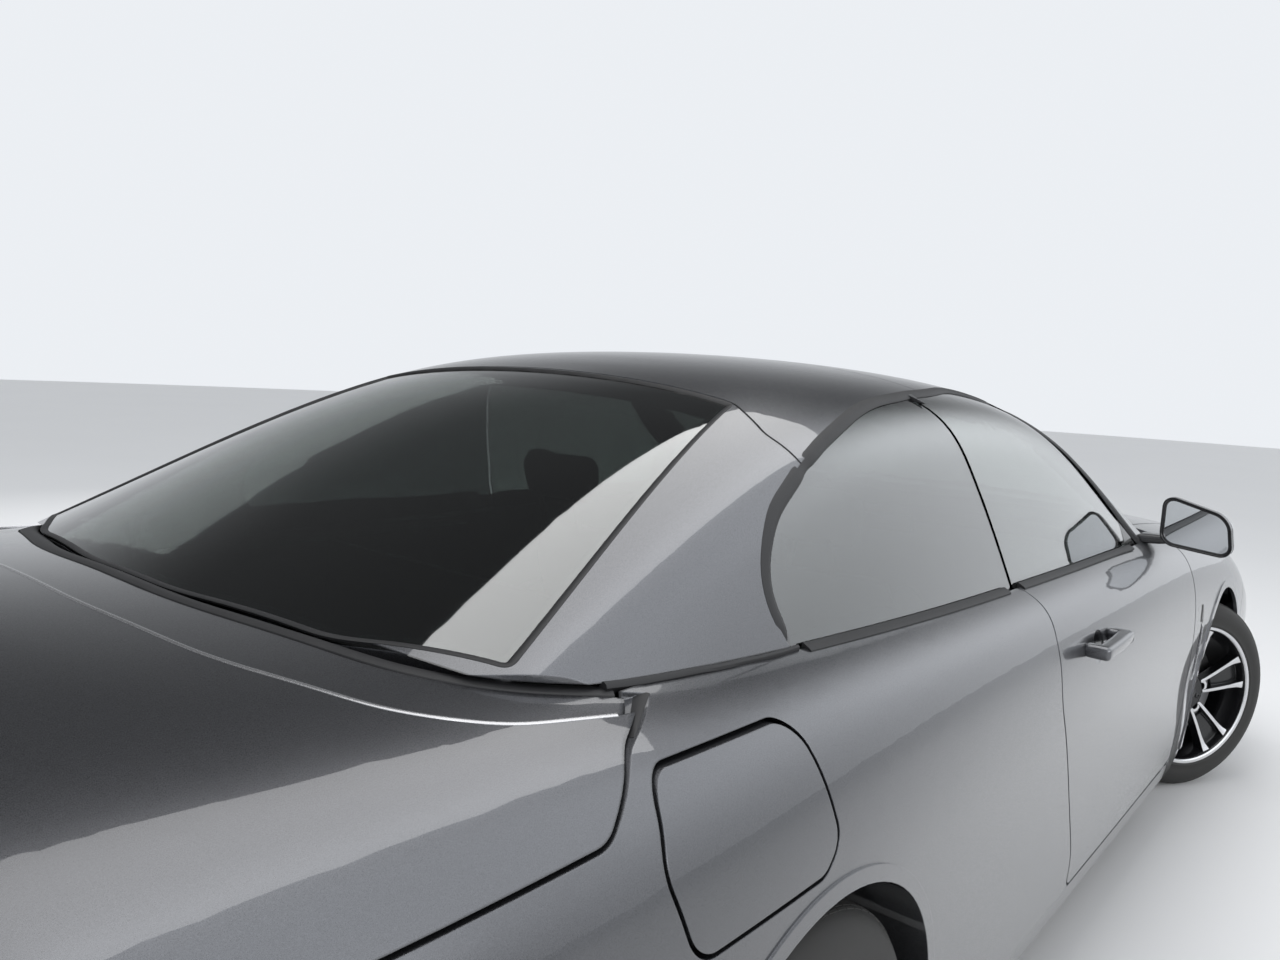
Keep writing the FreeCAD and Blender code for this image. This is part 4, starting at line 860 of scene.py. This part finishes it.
def make_mirror():
    """The right-hand mirror, its glass facing back."""
    head = block("mirror_head", (0.7375, -1.0190, 0.9165), (0.7600, -0.8325, 1.0795))
    mesh = bmesh.from_edit_mesh(head.data)
    for vertex in mesh.verts:
        outer, high = vertex.co.y < -0.95, vertex.co.z > 0.98
        vertex.co.y += 0.017 if outer and high else 0.0
        vertex.co.z += -0.047 if outer and high else 0.0 if outer or high else 0.019
    bpy.ops.mesh.select_mode(type="EDGE")
    bpy.ops.mesh.select_all(action="DESELECT")
    for edge in mesh.edges:
        along = edge.verts[1].co - edge.verts[0].co
        edge.select_set(abs(along.normalized().x) > 0.9)
    bmesh.update_edit_mesh(head.data)
    bpy.ops.mesh.bevel(offset=0.037, segments=8, affect="EDGES")
    pulled(faces("+x"), ((0.016, 0, 0), (1, 0.995, 0.99)), *(
        ((move, 0.0012, -0.001), (1, scale, scale)) for move, scale in (
            (0.022, 0.955), (0.016, 0.90), (0.010, 0.82), (0.005, 0.72), (0.002, 0.5))))
    reshape(faces("-x"), inset=0.0035)
    reshape(pull=True, move=(0.0025, 0, 0), scale=(1, 0.985, 0.98))
    reshape(inset=0.0045)
    reshape(pull=True, move=(0.004, 0, 0), scale=(1, 0.99, 0.985))
    number_faces(lambda f: 2 if f.select else 1 if f.calc_center_median().x < 0.7605 else 0)
    choose(lambda f: f.material_index == 0 and f.calc_center_median().x < 0.777
           and f.normal.y < -0.35 and abs(f.calc_center_median().z - 0.975) < 0.045)
    reshape(inset=0.0030, pull=True, move=(0, -0.0006, 0))
    number_faces(lambda f: 3 if f.select else f.material_index)
    take(done(), mirror_paint, gloss_trim, silvering, indicator)
    block("mirror_foot", (0.7500, -0.8900, 0.9320), (0.8150, -0.8300, 0.9560))
    pulled(faces("+y"),
           ((-0.006, 0.030, -0.001), (1.05, 1, 1.05)), ((-0.004, 0.024, 0), (1.1, 1, 1.0)))
    reshape(faces("-y"), move=(0.004, 0, 0.012), scale=(0.8, 1, 1.2))
    foot = take(eased(0.006, 3), gloss_trim)
    return dress(joined([head, foot], "mirror_right_detail"), sharp=32)


mirror = make_mirror()
for piece, side in ((mirror, "right"), (other_side(mirror, "mirror_left_detail"), "left")):
    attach(piece, "door_" + side)
    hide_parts("mirror_" + side)

# Lamps: moulded lenses flush with the body, clear in front and red behind, each welded to a
# dark bowl that is bolted into the body. Behind each front lens sit two projectors.
bowl_black = moulded(
    "lamp_bowl", (0.010, 0.010, 0.011), (0.020, 0.020, 0.021), 260.0, 0.22, 0.00008)
clear_lens = Finish("clear_lens", "lamp_clear", Transmission_Weight=1.0, IOR=1.49, Coat_Weight=0.3)
clear_lens.two_tone(clear_lens.grain(14.0), (0.90, 0.91, 0.92), (0.97, 0.98, 0.98), (0.02, 0.01))
reflector_silver = Finish("lamp_reflector", "lamp_clear", Metallic=1.0, Roughness=0.12)
reflector_silver.two_tone(reflector_silver.grain(700.0, 1.0), (0.62, 0.63, 0.64),
                          (0.80, 0.81, 0.82), bump=(0.0001, 0.6))
red_lens = Finish("tail_lens", "lamp_red", Transmission_Weight=1.0, IOR=1.49, Coat_Weight=0.3)
red_lens.two_tone(red_lens.grain(12.0), (0.34, 0.008, 0.008), (0.46, 0.014, 0.012), (0.02, 0.02))


def skin_of(node, name, outer, hand, thickness, finish):
    """The outer skin of a lamp's solid (or what is left inside it), given a thickness."""
    piece = copied(nodes[node], name)
    piece.hide_render = piece.hide_viewport = False
    piece.data.materials.clear()
    opened(take(piece, finish))
    bpy.ops.mesh.select_all(action="SELECT")
    bpy.ops.mesh.remove_doubles(threshold=0.00002)
    choose(lambda f: f.calc_center_median().y * hand < 0 or (f.normal.y * hand > 0.02) != outer)
    bpy.ops.mesh.delete(type="FACE")
    bpy.ops.mesh.select_all(action="SELECT")
    dress(finished(done(), "SOLIDIFY", thickness=thickness, offset=-1.0))
    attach(piece, "body")
    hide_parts(node)


def make_projector():
    """A projector facing forwards: bright ring, dark throat and glass ball."""
    ring = turned("projector_ring", [
        (0.010, 0.0330), (0.013, 0.0315), (0.011, 0.0290), (-0.002, 0.0250), (-0.016, 0.0225),
        (-0.017, 0.0340)], 40)
    eye = turned("projector_eye", [
        (0.0085, 0.0), (0.0075, 0.008), (0.0045, 0.0150), (-0.0010, 0.0200), (-0.0070, 0.0224),
        (-0.0150, 0.0224), (-0.0150, 0.0)], 40)
    back = turned("projector_back", [
        (-0.0155, 0.0), (-0.0155, 0.0225), (-0.019, 0.0225), (-0.019, 0.0)], 32)
    whole = joined([take(ring, reflector_silver), take(eye, clear_lens), take(back, bowl_black)],
                   "projector")
    return dress(placed(whole, angle=-math.pi / 2, axis="Z"))


LENS_THICKNESS, BOWL_THICKNESS = 0.003, 0.002
BEHIND_LENS = Vector((-0.034, 0, 0))
projector = make_projector()
for side, hand in HANDS:
    for node, lens in (("headlamps", clear_lens), ("tail_lamps", red_lens)):
        kind = node[:-1]
        skin_of(node, "%s_lens_%s" % (kind, side), True, hand, LENS_THICKNESS, lens)
        skin_of(node, "%s_bowl_%s" % (kind, side), False, hand, BOWL_THICKNESS, bowl_black)
    for number, (y, z) in enumerate(((0.585, 0.640), (0.690, 0.655))):
        spot, _ = touch((AHEAD, hand * y, z), (-1, 0, 0), ["headlamp_lens_" + side])
        piece = copied(projector, "headlamp_projector_%s_%d" % (side, number))
        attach(placed(piece, spot + BEHIND_LENS), "body")
bpy.data.objects.remove(projector)

# Front seats: foam on a steel frame under fine-grained dark leather, with a raised bolster
# each side, sewn panels and a separate head rest. A moulded base stands on two rails.
SEAT_Y = 0.375
RECLINE = 27.0
SEAT_FOOT = (-0.150, 0, 0.430)
RAIL_Y, POST_Y = 0.150, 0.062
CLOTH_STEPS = 20


def sewn_leather(name, middle, half, stitched):
    """Leather with a seam on each side of a place's middle, and perhaps its stitches."""
    hide = Finish(name, "leather", Specular_IOR_Level=0.45, Coat_Weight=0.08, Coat_Roughness=0.35)
    pebbles = hide.node("TexVoronoi", {"feature": "DISTANCE_TO_EDGE"}, {
        "Vector": hide.place(), "Scale": 420.0})
    wrinkle = hide.grain(60.0, 4.0, 0.6)
    from_middle = abs(abs(hide.axes()[1]) - middle)
    seam = abs(from_middle - half).over(0.0022, 0.0012)
    colour = hide.blend(wrinkle, (0.020, 0.019, 0.019), (0.038, 0.036, 0.035))
    if stitched:
        beside = 1 - abs(from_middle - half - 0.005).over(0.0012, 0.0005)
        thread = beside * hide.bands("DIAGONAL", 70.0).over(0.45, 0.1)
        colour = hide.blend(thread, colour, (0.22, 0.21, 0.20))
    return hide.feed(
        Base_Color=colour, Roughness=wrinkle * 0.2 + 0.38,
        Normal=hide.bump(pebbles * 0.25 + wrinkle * 0.5 + seam * 2.0, 0.0009, 0.8))


def foam(name, low, high, radius, wanted, *steps, foot=None):
    """One rounded block of foam, pulled out in steps; foot scales its lower face."""
    block(name, low, high)
    pulled(wanted, *steps)
    if foot:
        reshape(faces("-z"), scale=foot)
    return eased(radius, 3)


def pillow(name, blocks, voxel, cap, pressure=4.0):
    """Foam under tight leather: rounded blocks fused, blown up as cloth and evened out."""
    piece = joined(blocks, name)
    finished(piece, "REMESH", mode="VOXEL", voxel_size=voxel)
    finished(piece, "SMOOTH", factor=0.5, iterations=6)
    alone(piece)
    cloth = piece.modifiers.new("cloth", "CLOTH")
    cloth.settings.use_pressure = True
    cloth.settings.uniform_pressure_force = pressure
    cloth.settings.tension_stiffness = 25
    cloth.settings.compression_stiffness = 25
    cloth.settings.bending_stiffness = 1.5
    cloth.settings.effector_weights.gravity = 0
    cloth.collision_settings.use_collision = False
    before = [vertex.co.copy() for vertex in piece.data.vertices]
    for step in range(1, CLOTH_STEPS + 1):
        bpy.context.scene.frame_set(step)
    grown = piece.evaluated_get(bpy.context.evaluated_depsgraph_get()).data
    after = [vertex.co.copy() for vertex in grown.vertices]
    piece.modifiers.clear()
    bpy.context.scene.frame_set(1)
    for vertex, start, end in zip(piece.data.vertices, before, after):
        moved = end - start
        vertex.co = start + moved * min(1.0, cap / max(moved.length, 1e-9))
    finished(piece, "SMOOTH", factor=0.4, iterations=3)
    return finished(piece, "SUBSURF", levels=1, render_levels=1)


def lean(piece, angle, foot):
    """Leans a piece drawn upright back about its foot."""
    about = Matrix.Translation(foot)
    piece.data.transform(about @ Matrix.Rotation(math.radians(-angle), 4, "Y") @ about.inverted())
    return piece


def make_cushion():
    blocks = [foam("cushion_middle", (-0.125, -0.160, 0.320), (0.225, 0.160, 0.414), 0.030,
                   faces("+x"), ((0.045, 0, -0.012), (1, 0.98, 0.8)))]
    for y in (-0.222, 0.150):
        blocks.append(foam("cushion_side", (-0.110, y, 0.325), (0.200, y + 0.072, 0.440), 0.028,
                           faces("+x"), ((0.050, 0, -0.022), (1, 0.9, 0.72))))
    return pillow("seat_cushion", blocks, 0.0085, 0.010)


def make_backrest():
    """Drawn upright over its foot, and leant back."""
    blocks = [foam(
        "back_middle", (-0.150, -0.150, 0.400), (-0.052, 0.150, 0.600), 0.026, faces("+z"),
        ((0.012, 0, 0.20), (0.82, 0.97, 1)), ((0.010, 0, 0.13), (0.8, 0.80, 1)))]
    for hand, y in ((-1, -0.222), (1, 0.142)):
        blocks.append(foam(
            "back_side", (-0.140, y, 0.415), (-0.010, y + 0.080, 0.590), 0.030, faces("+z"),
            ((0.004, 0, 0.22), (0.86, 0.94, 1)), ((-0.014, -hand * 0.018, 0.11), (0.70, 0.75, 1))))
    return lean(pillow("seat_back", blocks, 0.009, 0.010), RECLINE, SEAT_FOOT)


def make_head_rest():
    crown = foam("head_block", (-0.470, -0.128, 0.992), (-0.408, 0.128, 1.085), 0.028, faces("+z"),
                 ((0.004, 0, 0.035), (0.86, 0.9, 1)), foot=(0.9, 0.92, 1))
    return lean(pillow("head_rest", [crown], 0.0065, 0.006), 12.0, (-0.440, 0, 0.990))


def make_shell():
    """The moulded back shell and side skirt round the foam, two rails and the head posts."""
    block("seat_shell", (-0.172, -0.205, 0.415), (-0.152, 0.205, 0.640))
    pulled(faces("+z"), ((0.022, 0, 0.20), (0.9, 0.95, 1)), ((0.022, 0, 0.115), (0.9, 0.78, 1)))
    reshape(faces("-x", 0.8), inset=0.022, move=(0.006, 0, 0))
    parts = [lean(eased(0.006, 3), RECLINE, SEAT_FOOT)]
    block("seat_skirt", (-0.190, -0.214, 0.268), (0.190, 0.214, 0.332))
    pulled(faces("+x"), ((0.020, 0, 0.008), (1, 0.94, 0.7)))
    reshape(lambda f: abs(f.normal.y) > 0.9, inset=0.012)
    bpy.ops.transform.resize(value=(1, 0.985, 1), center_override=(0, 0, 0.3))
    parts.append(eased(0.006, 3))
    for hand in (-1, 1):
        y = hand * RAIL_Y
        block("seat_rail", (-0.245, y - 0.020, 0.2005), (0.195, y + 0.020, 0.222))
        reshape(faces("+z"), inset=0.009)
        reshape(pull=True, move=(0, 0, 0.048))
        parts.append(eased(0.002, 1))
        post = turned("head_post", [
            (-0.045, 0.0), (-0.045, 0.007), (0.050, 0.007), (0.050, 0.0)], 16)
        placed(post, angle=math.pi / 2, axis="X")
        parts.append(placed(post, (-0.452, hand * POST_Y, 0.962), math.radians(-20)))
    return joined(parts, "seat_frame")


leather = sewn_leather("seat_leather", SEAT_Y, 0.152, True)
for pattern, finish, fill in (
        (make_cushion(), leather, 0.8), (make_backrest(), leather, 0.8),
        (make_head_rest(), leather, 0.9), (make_shell(), outer_trim, None)):
    for side, hand in HANDS:
        piece = placed(copied(pattern, pattern.name + "_" + side), (0, hand * SEAT_Y, 0))
        dress(piece, finish, sharp=60 if fill else 35)
        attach(piece, "body")
        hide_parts("front_seats")
    bpy.data.objects.remove(pattern)

# Rear bench: foam under the same leather, two shaped places with a trimmed hump of moulded
# plastic behind them and a shallow tray between them, screwed to the floor.
def make_bench_cushion():
    return pillow("bench_cushion", [foam(
        "bench_middle", (-0.820, 0.060, 0.392), (-0.545, 0.575, 0.478), 0.028, faces("+x"),
        ((0.035, 0, -0.004), (1, 0.98, 0.85)))], 0.0095, 0.008)


def make_bench_back():
    return pillow("bench_back", [foam(
        "back_block", (-0.905, 0.058, 0.475), (-0.815, 0.575, 0.590), 0.026, faces("+z"),
        ((-0.030, 0, 0.14), (0.9, 0.97, 1)), ((-0.022, 0, 0.13), (0.8, 0.90, 1)))], 0.0095, 0.008)


bench_leather = sewn_leather("bench_leather", 0.315, 0.165, False)
block("bench_frame", (-0.985, -0.585, 0.3865), (-0.925, 0.585, 0.640))
pulled(faces("+z"), ((-0.004, 0, 0.20), (0.85, 0.97, 1)))
reshape(lambda f: f.normal.x > 0.9 and f.calc_center_median().z < 0.6, inset=0.010)
hump = eased(0.012, 3)
block("bench_tray", (-0.925, -0.050, 0.3865), (-0.560, 0.050, 0.440))
reshape(faces("+z"), inset=0.010)
reshape(pull=True, move=(0, 0, -0.012), scale=(0.98, 0.9, 1))
tray = eased(0.005)
for pattern in (make_bench_cushion(), make_bench_back()):
    for side, hand in reversed(HANDS):
        name = pattern.name + "_" + side
        piece = dress((copied if hand > 0 else other_side)(pattern, name), bench_leather, sharp=60)
        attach(piece, "body")
        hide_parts("rear_bench")
    bpy.data.objects.remove(pattern)
bench_frame = dress(joined([hump, tray], "bench_frame"), soft_trim)
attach(bench_frame, "body")
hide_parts("rear_bench")

# Rubber bed of the boot lid: a wide black extruded lip, clipped on between the lid's front
# edge and the rear window, which carries the water off to both sides.
LID_EDGE = ((-1436, -757, 0), (-1675, -618, 350), (-1780, -200, 900), (-1780, 0, 0))
BED_PROFILE = ((1.8, -14), (1.8, -1.5), (3.5, 1.0), (10, 2.6), (20, 2.2), (30, -2.5), (30, -14))


def across_car(corners, bed, inwards):
    """A route over the whole width on panels, from its right half seen from above."""
    route = []
    for point, out in zip(*rounded(corners)):
        out = out if out.x > 0 else -out
        for reach in (inwards, inwards - 0.006, inwards - 0.012):
            spot = from_above(*(point - out * reach), *bed)
            if spot and spot[1].z > 0.25:
                break
        if spot:
            across = flat_on(Vector((out.x, out.y, 0)), spot[1])
            route.append((spot[0] + across * reach, across, spot[1]))
    twins = [tuple(Vector((v.x, -v.y, v.z)) for v in step) for step in reversed(route)]
    return smoothed(route + twins[1:], 4)


strip("lid_bed", across_car(LID_EDGE, ["boot_lid"], 0.007), BED_PROFILE, rubber)

# The edge of the lid's raised rear part, where the sheet is folded to a narrow line. The strip
# along it is a lighter metallic grey than the paint: a painted highlight for the bright line this
# fold shows from one side of the lid to the other.
LID_FOLD = ((-1530, -752, 0), (-1662, -714, 200), (-1752, -634, 220), (-1838, -424, 500),
            (-1872, -170, 900), (-1872, 0, 0))
FOLD_PROFILE = ((-5.5, -1.5), (-4.5, 0.6), (-2.0, 1.3), (0.8, 0.9), (1.6, -1.0), (1.2, -4.5),
                (-3.0, -4.5))
# A lighter metallic grey than the paint: a painted highlight on the lid's fold and the rear
# window's top edge, and bright trim on the wing vents.
folded_edge = Finish("folded_edge", "steel", Metallic=0.8, Coat_Weight=1.0, Coat_Roughness=0.04)
folded_edge.two_tone(folded_edge.grain(300.0), (0.30, 0.30, 0.31), (0.42, 0.42, 0.43), (0.1, 0.22))
strip("lid_fold", across_car(LID_FOLD, ["boot_lid"], 0.004), FOLD_PROFILE, folded_edge, "boot_lid")

# A slim moulding along the rear window's upper edge, pressed into the joint between the pane and
# the roof; its bright grey is a painted highlight for the light line along that seam.
WINDOW_TOP = ((-930, -470, 0), (-930, 0, 0))
MOULDING_PROFILE = ((1.0, -2), (1.0, 0.8), (3.0, 1.3), (5.0, 0.8), (5.0, -2))
strip("window_top_moulding", across_car(WINDOW_TOP, ["rear_window", "roof_rear"], 0.008),
      MOULDING_PROFILE, folded_edge)

# Door handles: a painted bow grip, moulded with its two posts and screwed on from inside,
# over a shallow bowl for the fingers, made gloss black as painted shade for the shadow inside it.
BOWL_PLACE, BOWL_TURN = (-0.070, -0.8915, 0.814), math.radians(-11)


def on_both_doors(piece):
    """Lets the right-hand piece and its twin ride on the doors."""
    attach(other_side(piece, piece.name.replace("right", "left")), "door_left")
    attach(piece, "door_right")


block("door_grip_right", (-0.171, -0.9475, 0.798), (-0.141, -0.9170, 0.828))
pulled(faces("+x"), ((0.070, -0.0025, 0.002), (1, 1, 1.12)), ((0.070, 0.0025, 0.002), (1, 1, 0.9)),
       ((0.031, 0, 0), (1, 1, 1)))
reshape(lambda f: f.normal.y > 0.9 and not -0.14 < f.calc_center_median().x < -0.002,
        pull=True, move=(0, 0.024, 0), scale=(1, 1, 0.92))
on_both_doors(dress(eased(0.009, 4), mirror_paint))
# The bowl's gloss black is painted shade: the recess is painted like the door and only shaded under
# the grip.
bowl = turned("door_bowl_right", [
    (0.0020, 0.0), (0.0017, 0.010), (0.0008, 0.019), (-0.0008, 0.0275), (-0.0018, 0.0290),
    (-0.0040, 0.0290), (-0.0040, 0.0)], 48)
on_both_doors(dress(placed(bowl, BOWL_PLACE, BOWL_TURN, "X"), gloss_trim))

# Rubber seals at the lid's front corners: one goes on from the lid's bed, along the roof's
# lower edge to the side window, and one lies on the ledge under the lid's side.
CORNER_SEALS = (
    # name, how much it narrows, across, up, places on the right-hand side, profile
    ("roof_foot_seal_", 0.3, (0, -0.87, -0.50), (0, -0.50, 0.87), (
        (-1.500, -0.706, 0.984), (-1.470, -0.713, 0.982), (-1.440, -0.720, 0.981),
        (-1.410, -0.725, 0.980), (-1.380, -0.730, 0.979), (-1.350, -0.734, 0.978),
        (-1.320, -0.739, 0.976), (-1.290, -0.743, 0.975), (-1.260, -0.745, 0.974),
        (-1.230, -0.749, 0.973), (-1.200, -0.753, 0.973), (-1.170, -0.754, 0.972),
        (-1.135, -0.755, 0.972)), ((-5, -9), (-5, 1), (-2, 3), (3, 2.4), (6, -0.5), (6, -9))),
    ("lid_side_seal_", 0.7, (0.5, -0.87, 0.1), (-0.23, 0, 0.97), (
        (-1.460, -0.7345, 0.9715), (-1.478, -0.7450, 0.9675), (-1.498, -0.7575, 0.9630),
        (-1.520, -0.7715, 0.9575), (-1.540, -0.7850, 0.9515)), (
            (-12, -5), (-12, 0.0), (-6, 1.6), (4, 2.0), (8, 0.5), (8, -5))))
for name, narrowing, across, up, places, profile in CORNER_SEALS:
    for side, hand in HANDS:
        flip = Vector((1, -hand, 1))
        strip(name + side, [
            (Vector(place) * flip, Vector(across) * flip * (1 - narrowing * k / len(places)),
             Vector(up) * flip) for k, place in enumerate(places)], profile, rubber)

# Black vent behind each front wheel: a gloss blade moulded in plastic and clipped into the
# wing's slot, with a bright hooked edge of rolled steel round its upper end.
VENT_PARTS = (
    # name, (x, z, how wide) along it, profile, finish
    ("wing_vent_", ((1.126, 0.712, 0.7), (1.122, 0.660, 1.2), (1.110, 0.600, 1.3),
                    (1.098, 0.540, 1.2), (1.086, 0.486, 0.8)),
     ((-13, -2), (-13, 1.0), (-9, 2.2), (0, 1.4), (9, 2.4), (13, 1.0), (13, -2)), gloss_trim),
    ("wing_vent_edge_", ((1.146, 0.640, 0.5), (1.140, 0.600, 1.0), (1.126, 0.545, 1.0),
                         (1.112, 0.500, 1.0), (1.094, 0.478, 1.0), (1.078, 0.480, 0.5)),
     ((-2.5, -2), (-2.5, 1.6), (0, 3.2), (2.5, 1.6), (2.5, -2)), folded_edge))
for side, hand in HANDS:
    for name, sections, profile, finish in VENT_PARTS:
        route = []
        for before, here in zip(sections, sections[1:]):
            for k in range(6):
                x, z, wide = Vector(before).lerp(Vector(here), k / 6)
                found = from_side(x, z, hand, "front_wing_" + side)
                if found and (not route or abs(found[0].y - route[-1][0].y) < 0.012):
                    across = Vector((here[1] - before[1], 0, before[0] - here[0])).normalized()
                    route.append((found[0], across * wide, Vector((0, hand, 0))))
        strip(name + side, route, profile, finish)

# Black corner of each side window: a gloss plastic blank, bonded to the door ahead of the
# glass at the mirror's foot, that narrows to a point under the windscreen's pillar.
CORNER_START, CORNER_LENGTH = 0.560, 0.128
PILLAR_RISE = 0.568
CORNER_PROFILE = ((-10, -2.0), (-10, 1.5), (995, 1.5), (1000, 0.5), (1000, -2.0))
for side, hand in HANDS:
    route = []
    for k in range(13):
        x = CORNER_START + CORNER_LENGTH * k / 12
        top = 0.941 + (0.700 - x) * PILLAR_RISE
        low, high = (from_side(x, z, hand, "door_window_" + side) for z in (0.950, top))
        if low and high:
            route.append((low[0], high[0] - low[0], low[1]))
    strip("window_corner_" + side, route, CORNER_PROFILE, gloss_trim, "door_" + side)

# Light guides of frosted plastic inside the lenses, white in front and red behind, and the
# red reflectors, moulded in one piece and let into the rear bumper's corners.
GUIDE_PROFILE = ((-5, -5), (-5, 3), (-3, 5), (3, 5), (5, 3), (5, -5))
REFLECTOR_PROFILE = ((-13, -2), (-13, 2), (-11, 3), (11, 3), (13, 2), (13, -2))
GUIDE_DEPTH, REFLECTOR_DEPTH = 0.014, -0.0005
light_guide = Finish("light_guide", "lamp_clear", Roughness=0.25, Coat_Weight=0.6)
light_guide.two_tone(light_guide.grain(1800.0, 1.0), (0.70, 0.71, 0.72), (0.86, 0.87, 0.88),
                     bump=(0.0002, 0.5))
red_guide = Finish("tail_light_guide", "lamp_red", Roughness=0.3, Coat_Weight=0.7)
red_guide.two_tone(red_guide.bands("Y", 60.0), (0.42, 0.012, 0.010), (0.62, 0.03, 0.025),
                   bump=(0.0005, 0.7))


def round_corner(bed, centre, z, start, end, steps, inwards):
    """A route round a corner of the body at one height, seen from above; angles from -Y."""
    route = []
    for k in range(steps + 1):
        a = math.radians(start + (end - start) * k / steps)
        way = Vector((
            math.copysign(math.sin(a), centre[0]), math.copysign(math.cos(a), centre[1]), 0))
        found = touch(Vector((*centre, z)) + way * 1.2, -way, [bed])
        if found:
            route.append((found[0] - found[1] * inwards, Vector((0, 0, 1)), found[1]))
    return [(p, flat_on(across, up), up) for p, across, up in smoothed(route, 2)]


GUIDES = (
    # name, lamp or bumper it lies on, corner's centre, height, angles from and to, steps
    ("tail_guide_%s_0", "tail_lamp_lens_%s", (-2.0, 0.55), 0.822, 18, 80, 24),
    ("tail_guide_%s_1", "tail_lamp_lens_%s", (-2.0, 0.55), 0.760, 28, 80, 24),
    ("tail_reflector_%s", "rear_bumper", (-2.0, 0.55), 0.450, 28, 52, 12),
    ("headlamp_guide_%s", "headlamp_lens_%s", (1.85, 0.45), 0.600, 40, 84, 24))
for side, hand in HANDS:
    for name, bed, (x, y), z, start, end, steps in GUIDES:
        outside = bed == "rear_bumper"
        strip(name % side, round_corner(
            bed if outside else bed % side, (x, hand * y), z, start, end, steps,
            REFLECTOR_DEPTH if outside else GUIDE_DEPTH),
            REFLECTOR_PROFILE if outside else GUIDE_PROFILE, light_guide if x > 0 else red_guide)

# Tail pipes: sleeves of polished stainless steel, rolled over at the lip and pressed over
# the two ends of the exhaust.
tail_pipe = Finish("polished_steel", "steel", Metallic=1.0)
tail_pipe.two_tone(tail_pipe.grain(800.0, 1.0), (0.55, 0.55, 0.55), (0.70, 0.70, 0.70), (0.1, 0.1))
for side, hand in HANDS:
    sleeve = turned("tail_pipe_" + side, [
        (-0.055, 0.0388), (-0.055, 0.0400), (0.040, 0.0425), (0.050, 0.0440), (0.056, 0.0440),
        (0.058, 0.0425), (0.056, 0.0410), (0.046, 0.0402), (0.030, 0.0388)], 48)
    placed(sleeve, (-2.240, hand * 0.430, 0.2722), math.pi / 2, "Z")
    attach(dress(sleeve, tail_pipe), "body")

# Wipers: two black pressed arms on bosses that come up out of the scuttle, with their rubber
# blades parked along the screen's foot.
BLADE_PROFILE = ((-1.0, -3.4), (-4, 2), (-7, 6), (-3, 10), (3, 10), (6, 6), (4, 2), (1.0, -3.4))
ARM_PROFILE = ((-8, -3), (-8, 2), (-5, 5), (5, 5), (8, 2), (8, -3))
ARM_RISE = 0.012
arm_black = moulded(
    "wiper_black", (0.010, 0.010, 0.011), (0.016, 0.016, 0.017), 500.0, 0.35, 0.00004)
for side, y0, y1, foot in (("right", -0.600, 0.020, 0.86), ("left", 0.020, 0.610, 0.92)):
    blade = []
    for k in range(31):
        y = y0 + (y1 - y0) * k / 30
        found = from_above(0.844 - 0.075 * (abs(y) / 0.62) ** 2.2, y, "windscreen")
        if found:
            spot, up = found
            blade.append((spot + up * 0.0045, Vector((1, 0, 0)) - up * up.x, up))
    blade = smoothed(blade)
    strip("wiper_blade_" + side, blade, BLADE_PROFILE, rubber)
    middle = blade[len(blade) // 2]
    start = from_above(0.925, y0 + (y1 - y0) * foot, "scuttle", "windscreen_frame")[0] + Vector(
        (0, 0, ARM_RISE))
    end = middle[0] + middle[2] * ARM_RISE
    arm = [(start.lerp(end, k / 12) + Vector((0, 0, ARM_RISE * math.sin(math.pi * k / 12))),
            Vector((1, 0, 0)), Vector((0, 0, 1))) for k in range(13)]
    strip("wiper_arm_" + side, arm, ARM_PROFILE, arm_black)
    boss = turned("wiper_boss_" + side, [
        (-0.020, 0.0), (-0.020, 0.017), (0.004, 0.016), (0.010, 0.011), (0.011, 0.0)], 24)
    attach(dress(placed(boss, start, math.pi / 2, "X"), arm_black), "body")
